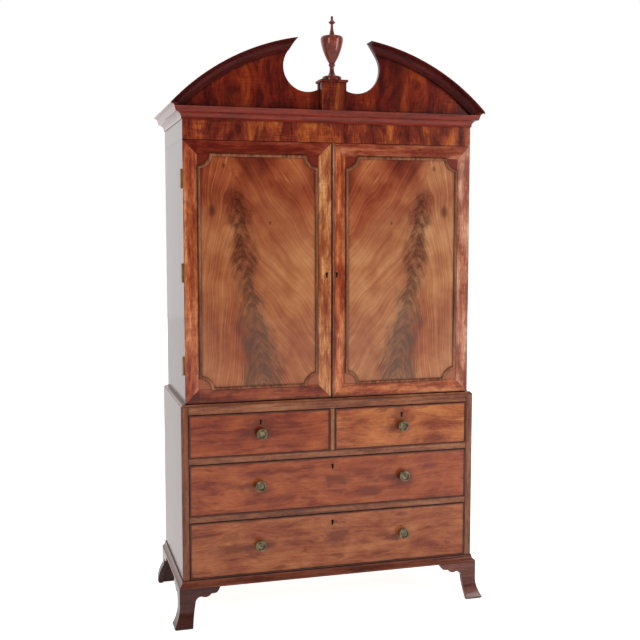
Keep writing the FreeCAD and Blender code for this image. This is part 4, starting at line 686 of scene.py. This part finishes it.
plainSide = (0.68, 0.60, 0.50)
doorBead = (0.9, 1.2, 1.6)
# painted shade: the cockbeads round the drawers are darkened to stand for the shadow line in the
# gap round each drawer
shadedDrawerBead = (0.44, 0.30, 0.30)
boardTints = {
    # how each board's colour differs from its wood: red, green, blue shares
    "door_left_frame": {"hinge": (1.18, 1.24, 1.16), "meeting": (1.12, 1.42, 1.30),
                        "top": (0.46, 0.21, 0.22), "bottom": (0.54, 0.31, 0.24),
                        "bead": doorBead},
    "door_right_frame": {"hinge": (1.02, 1.32, 1.9), "meeting": (1.15, 1.05, 0.9),
                         "top": (0.83, 0.67, 0.74), "bottom": (1.0, 0.88, 0.72),
                         "bead": doorBead},
    "door_left_panel": {"board": (0.97, 0.85, 0.90)},
    "door_right_panel": {"board": (1.12, 1.14, 1.32)},
    "drawer_short_left_front": {"board": (0.74, 0.44, 0.33), "bead": shadedDrawerBead},
    "drawer_short_right_front": {"board": (1.02, 0.94, 0.84), "bead": shadedDrawerBead},
    "drawer_long_upper_front": {"board": (0.76, 0.51, 0.44), "bead": shadedDrawerBead},
    "drawer_long_lower_front": {"board": (0.82, 0.73, 0.80), "bead": shadedDrawerBead},
    "pediment_board": {"board": (0.66, 0.37, 0.34)},
    "pediment_plinth": {"board": (0.70, 0.64, 0.68)},
    "raking_mouldings": {"board": (0.72, 0.42, 0.42)},
    "cornice_moulding": {"board": (1.04, 0.52, 0.26)},
    "frieze_box": {"board": (1.16, 1.32, 1.18), "side": plainSide},
    "urn_finial": {"board": (1.05, 1.0, 1.0)},
    "waist_moulding": {"board": (1.62, 1.56, 1.40)},
    "base_moulding": {"board": (0.72, 0.52, 0.55)},
    "foot_front_left": {"board": (0.40, 0.43, 0.68)},
    "foot_rear_left": {"board": (0.35, 0.3, 0.4)},
    "foot_front_right": {"board": (1.03, 1.48, 2.30)},
    "foot_rear_right": {"board": (0.5, 0.4, 0.5)},
    "lower_side_left": {"board": plainSide, "facing": (0.90, 0.84, 0.84)},
    "lower_side_right": {"board": plainSide, "facing": (1.0, 1.1, 1.2)},
    "upper_side_left": {"board": plainSide},
    "upper_side_right": {"board": plainSide},
}
# some boards of a piece are of another wood: front facings match the rails, and the frieze box is
# plain at its sides and pine behind and on top
otherWood = {"facing": "railMahogany", "side": "caseMahogany", "inner": "insidePine"}
# what tells the boards of a piece apart, in metres
beadWidth = 0.012
facingDepth = 0.03
friezeFront = -0.23
friezeSideWidth = 0.1
hingeStileFrom = 0.3
doorMiddle = 1.5


def roleOf(name, low, high):
    size = high - low
    if name == "frieze_box" and low.y > friezeFront:
        return "inner" if size.x > friezeSideWidth else "side"
    if name.startswith("lower_side") and size.y < facingDepth:
        return "facing"
    if name.endswith(("_front", "_frame")) and min(size.x, size.z) < beadWidth:
        return "bead"
    if not name.endswith("_frame"):
        return "board"
    if size.z > size.x:
        return "hinge" if abs(low.x + high.x) / 2 > hingeStileFrom else "meeting"
    return "top" if low.z > doorMiddle else "bottom"


def boardsIn(mesh):
    # faces of each board, which is a closed shell of its own
    left = set(mesh.faces)
    found = []
    for start in mesh.faces:
        if start not in left:
            continue
        left.discard(start)
        part, rim = [start], [start]
        while rim:
            for edge in rim.pop().edges:
                for other in edge.link_faces:
                    if other in left:
                        left.discard(other)
                        part.append(other)
                        rim.append(other)
        found.append(part)
    return found


sameSpot = 1e-6  # corners closer than this are one
flatAngle = math.radians(0.6)  # faces that turn by less than this are one
easedAngle = math.radians(28)  # and edges that turn by more than this are eased


def easedCopy(name, ease):
    # the frame's triangles follow one another board by board, and a board is whole once each edge
    # has met its partner, so boards that only touch stay apart
    mesh = bmesh.new()
    source = nodes[name].data
    corners, waiting = {}, set()
    for face in source.polygons:
        ring = [tuple(round(share, 6) for share in source.vertices[index].co)
                for index in face.vertices]
        if len(set(ring)) < 3:
            continue
        waiting ^= {frozenset(pair) for pair in zip(ring, ring[1:] + ring[:1])}
        for spot in ring:
            if spot not in corners:
                corners[spot] = mesh.verts.new(spot)
        mesh.faces.new([corners[spot] for spot in ring])
        if not waiting:
            corners = {}
    if ease is not None:
        bmesh.ops.dissolve_limit(mesh, angle_limit=flatAngle, verts=mesh.verts, edges=mesh.edges)
    if ease:
        sharp = [edge for edge in mesh.edges
                 if len(edge.link_faces) == 2 and edge.calc_face_angle(0.0) > easedAngle
                 and edge.calc_length() > ease * 2]
        bmesh.ops.bevel(mesh, geom=sharp, offset=ease, offset_type="OFFSET", affect="EDGES",
                        segments=2, profile=0.5, material=-1, clamp_overlap=True)
    return mesh


def inOrder(mesh):
    # the same faces laid down in a fixed order, which spinning and merging don't keep
    mesh.verts.index_update()
    rings = []
    for face in mesh.faces:
        ring = [vert.index for vert in face.verts]
        first = ring.index(min(ring))
        rings.append(ring[first:] + ring[:first])
    fresh = bmesh.new()
    corners = [fresh.verts.new(vert.co) for vert in mesh.verts]
    for ring in sorted(rings):
        fresh.faces.new([corners[index] for index in ring])
    mesh.free()
    return fresh


turnedAt = {"urn_finial": Vector((0.0, -0.241, 0.0))}
turnSteps = 72


def turnedCopy(name):
    # a turned piece is spun again from its own outline, so that its shine runs evenly
    middle = turnedAt[name]
    mesh = easedCopy(name, None)
    away = [vert for vert in mesh.verts if abs(vert.co.y - middle.y) > 10 * sameSpot
            or vert.co.x < middle.x - sameSpot]
    bmesh.ops.delete(mesh, geom=away, context="VERTS")
    bmesh.ops.spin(mesh, geom=mesh.verts[:] + mesh.edges[:], cent=middle, axis=(0, 0, 1),
                   angle=math.tau, steps=turnSteps, use_merge=True)
    bmesh.ops.remove_doubles(mesh, verts=mesh.verts, dist=sameSpot)
    bmesh.ops.recalc_face_normals(mesh, faces=mesh.faces)
    return inOrder(mesh)


archCentre = 1.4565  # height of the point that the pediment's arch is struck from
archGrain = 0.9  # grain length for each radian round that point


def grainOf(low, high, grain):
    # a function from a place in the piece to its place in the board's own grain
    size = high - low
    if grain == "feather":
        # across from the panel's middle to the meeting side, and up from its foot
        middle = (low.x + high.x) / 2
        turn = -1 if middle > 0 else 1
        return lambda at: Vector(((at.x - middle) * turn, at.z - low.z, at.y))
    if grain == "arch":
        return lambda at: Vector((math.atan2(at.x, at.z - archCentre) * archGrain,
                                  math.hypot(at.x, at.z - archCentre), at.y))
    first = {"x": 0, "y": 1, "z": 2}.get(grain)
    if grain == "wide":
        first = 0 if size.x > size.y else 1
    if first is None:
        first = max(range(3), key=lambda axis: size[axis])
    second, third = sorted((axis for axis in range(3) if axis != first),
                           key=lambda axis: -size[axis])
    return lambda at: Vector((at[first], at[second], at[third]))


grainShift = (-20, 20)
toneRange = (0.93, 1.07)
smoothAngle = math.radians(50)


def dress(name, finish, ease, grain):
    dice = random.Random(name)
    kinds = []
    mesh = turnedCopy(name) if name in turnedAt else easedCopy(name, ease)
    grainLayer = mesh.loops.layers.float_vector.new("grainPlace")
    tintLayer = mesh.loops.layers.float_color.new("boardTint")
    rimLayer = mesh.loops.layers.float_color.new("boardRim")
    for part in boardsIn(mesh):
        spots = [vert.co for face in part for vert in face.verts]
        low = Vector([min(spot[axis] for spot in spots) for axis in range(3)])
        high = Vector([max(spot[axis] for spot in spots) for axis in range(3)])
        place = grainOf(low, high, grain)
        shift = Vector([dice.uniform(*grainShift) for _ in range(3)])
        if grain == "feather":
            shift = Vector((0, 0, 0))
        tone = dice.uniform(*toneRange)
        role = roleOf(name, low, high)
        shares = boardTints.get(name, {}).get(role, (1.0, 1.0, 1.0))
        tint = [share * tone for share in shares] + [1.0]
        kind = otherWood.get(role, finish)
        if kind not in kinds:
            kinds.append(kind)
        for face in part:
            face.material_index = kinds.index(kind)
            for corner in face.loops:
                at = corner.vert.co
                corner[grainLayer] = place(at) + shift
                corner[tintLayer] = tint
                corner[rimLayer] = (at.x - low.x, high.x - at.x, at.z - low.z, high.z - at.z)
    made = bpy.data.meshes.new(name + "_wood")
    mesh.to_mesh(made)
    mesh.free()
    for kind in kinds:
        made.materials.append(finishes[kind])
    for face in made.polygons:
        face.use_smooth = True
    made.set_sharp_from_angle(angle=smoothAngle)
    piece = bpy.data.objects.new(name + "_wood", made)
    bpy.context.scene.collection.objects.link(piece)
    if name not in turnedAt:
        # broad faces keep their own normals and the eased edges take up the turn
        steady = piece.modifiers.new("steadyNormals", "WEIGHTED_NORMAL")
        steady.keep_sharp = True
    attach(piece, bodyOf[name])
    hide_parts(name)


for name, (finish, ease, grain) in boardsOf.items():
    dress(name, finish, ease, grain)
print("boards dressed:", len(boardsOf))


# metal keeps the frame's own meshes: worn knobs, pale hinges, and dull liners, locks and bolts

knobs = {
    # (x, z) of each knob's middle
    "drawer_short_left_brass": [(-0.303, 0.773)], "drawer_short_right_brass": [(0.303, 0.773)],
    "drawer_long_upper_brass": [(-0.3095, 0.5595), (0.3095, 0.5595)],
    "drawer_long_lower_brass": [(-0.3095, 0.3125), (0.3095, 0.3125)],
}
knobReach = 0.026

for name, metal in nodes.items():
    if name in boardsOf:
        continue
    metal.data.materials.clear()
    metal.data.materials.append(finishes["hingeBrass" if "hinge" in name else "dullBrass"])
    metal.data.materials.append(finishes["agedBrass"])
    for face in metal.data.polygons:
        onKnob = any(math.hypot(face.center.x - x, face.center.z - z) < knobReach
                     for x, z in knobs.get(name, []))
        face.material_index = int(onKnob)
print("metal finished")


# studio: white floor and surround, a bright wall behind and darker air in front, two soft lamps

studio = {
    "floor": "f2f2f2", "floorRough": 0.9, "floorGlow": 0.30, "floorSeen": 0.5,
    "floorHalf": 14.0, "front": 0.05, "behind": 1.0, "above": 0.25, "turn": (-0.25, 0.45),
}
white = (1.0, 1.0, 1.0, 1.0)


def makeFloor():
    mesh = bmesh.new()
    bmesh.ops.create_grid(mesh, x_segments=1, y_segments=1, size=studio["floorHalf"])
    made = bpy.data.meshes.new("floor")
    mesh.to_mesh(made)
    mesh.free()
    floor = bpy.data.objects.new("floor", made)
    bpy.context.scene.collection.objects.link(floor)
    material, tree = newMaterial("paleFloor")
    seen = put(tree, "LightPath").outputs["Is Camera Ray"]
    glow = add(tree, studio["floorGlow"], times(tree, seen, studio["floorSeen"]))
    finishOff(tree, {"Base Color": paint(studio["floor"]), "Roughness": studio["floorRough"],
                     "Emission Color": white, "Emission Strength": glow})
    made.materials.append(material)


def makeSurround():
    world = bpy.data.worlds.new("surround")
    bpy.context.scene.world = world
    world.use_nodes = True
    tree = world.node_tree
    tree.nodes.clear()
    _, back, up = split(tree, put(tree, "TexCoord").outputs["Generated"])
    light = add(tree, remap(tree, back, *studio["turn"], studio["front"], studio["behind"]),
                times(tree, most(tree, up, 0.0), studio["above"]))
    seen = put(tree, "LightPath").outputs["Is Camera Ray"]
    light = add(tree, times(tree, light, less(tree, 1.0, seen)), seen)
    sky = put(tree, "Background", {"Color": white, "Strength": light})
    tree.links.new(sky.outputs[0], put(tree, "OutputWorld").inputs[0])


lamps = {
    # name: (place, width, height, power, aim)
    "rightPanel": ((2.5, -2.7, 1.75), 1.3, 2.0, 52.0, (0.1, -0.25, 1.2)),
    "leftPanel": ((-3.0, -3.0, 2.2), 1.2, 1.6, 38.0, (0.0, -0.25, 1.3)),
}


def makeLamps():
    for name, (place, wide, high, power, aim) in lamps.items():
        light = bpy.data.lights.new(name, "AREA")
        light.shape = "RECTANGLE"
        light.size, light.size_y = wide, high
        light.energy = power
        lamp = bpy.data.objects.new(name, light)
        bpy.context.scene.collection.objects.link(lamp)
        lamp.location = place
        lamp.rotation_euler = (Vector(aim) - Vector(place)).to_track_quat("-Z", "Y").to_euler()


eye = {"place": (-1.1507, -4.1358, 1.5902), "turn": 15.79, "tilt": -5.16, "lens": 55.86,
       "sensor": 36.0}


def makeCamera():
    data = bpy.data.cameras.new("viewer")
    data.lens = eye["lens"]
    data.sensor_width = eye["sensor"]
    camera = bpy.data.objects.new("viewer", data)
    bpy.context.scene.collection.objects.link(camera)
    camera.location = eye["place"]
    camera.rotation_euler = (math.radians(90 + eye["tilt"]), 0.0, -math.radians(eye["turn"]))
    bpy.context.scene.camera = camera


makeFloor()
makeSurround()
makeLamps()
makeCamera()
scene = bpy.context.scene
scene.view_settings.view_transform = "Standard"
scene.view_settings.look = "None"
print("studio ready")
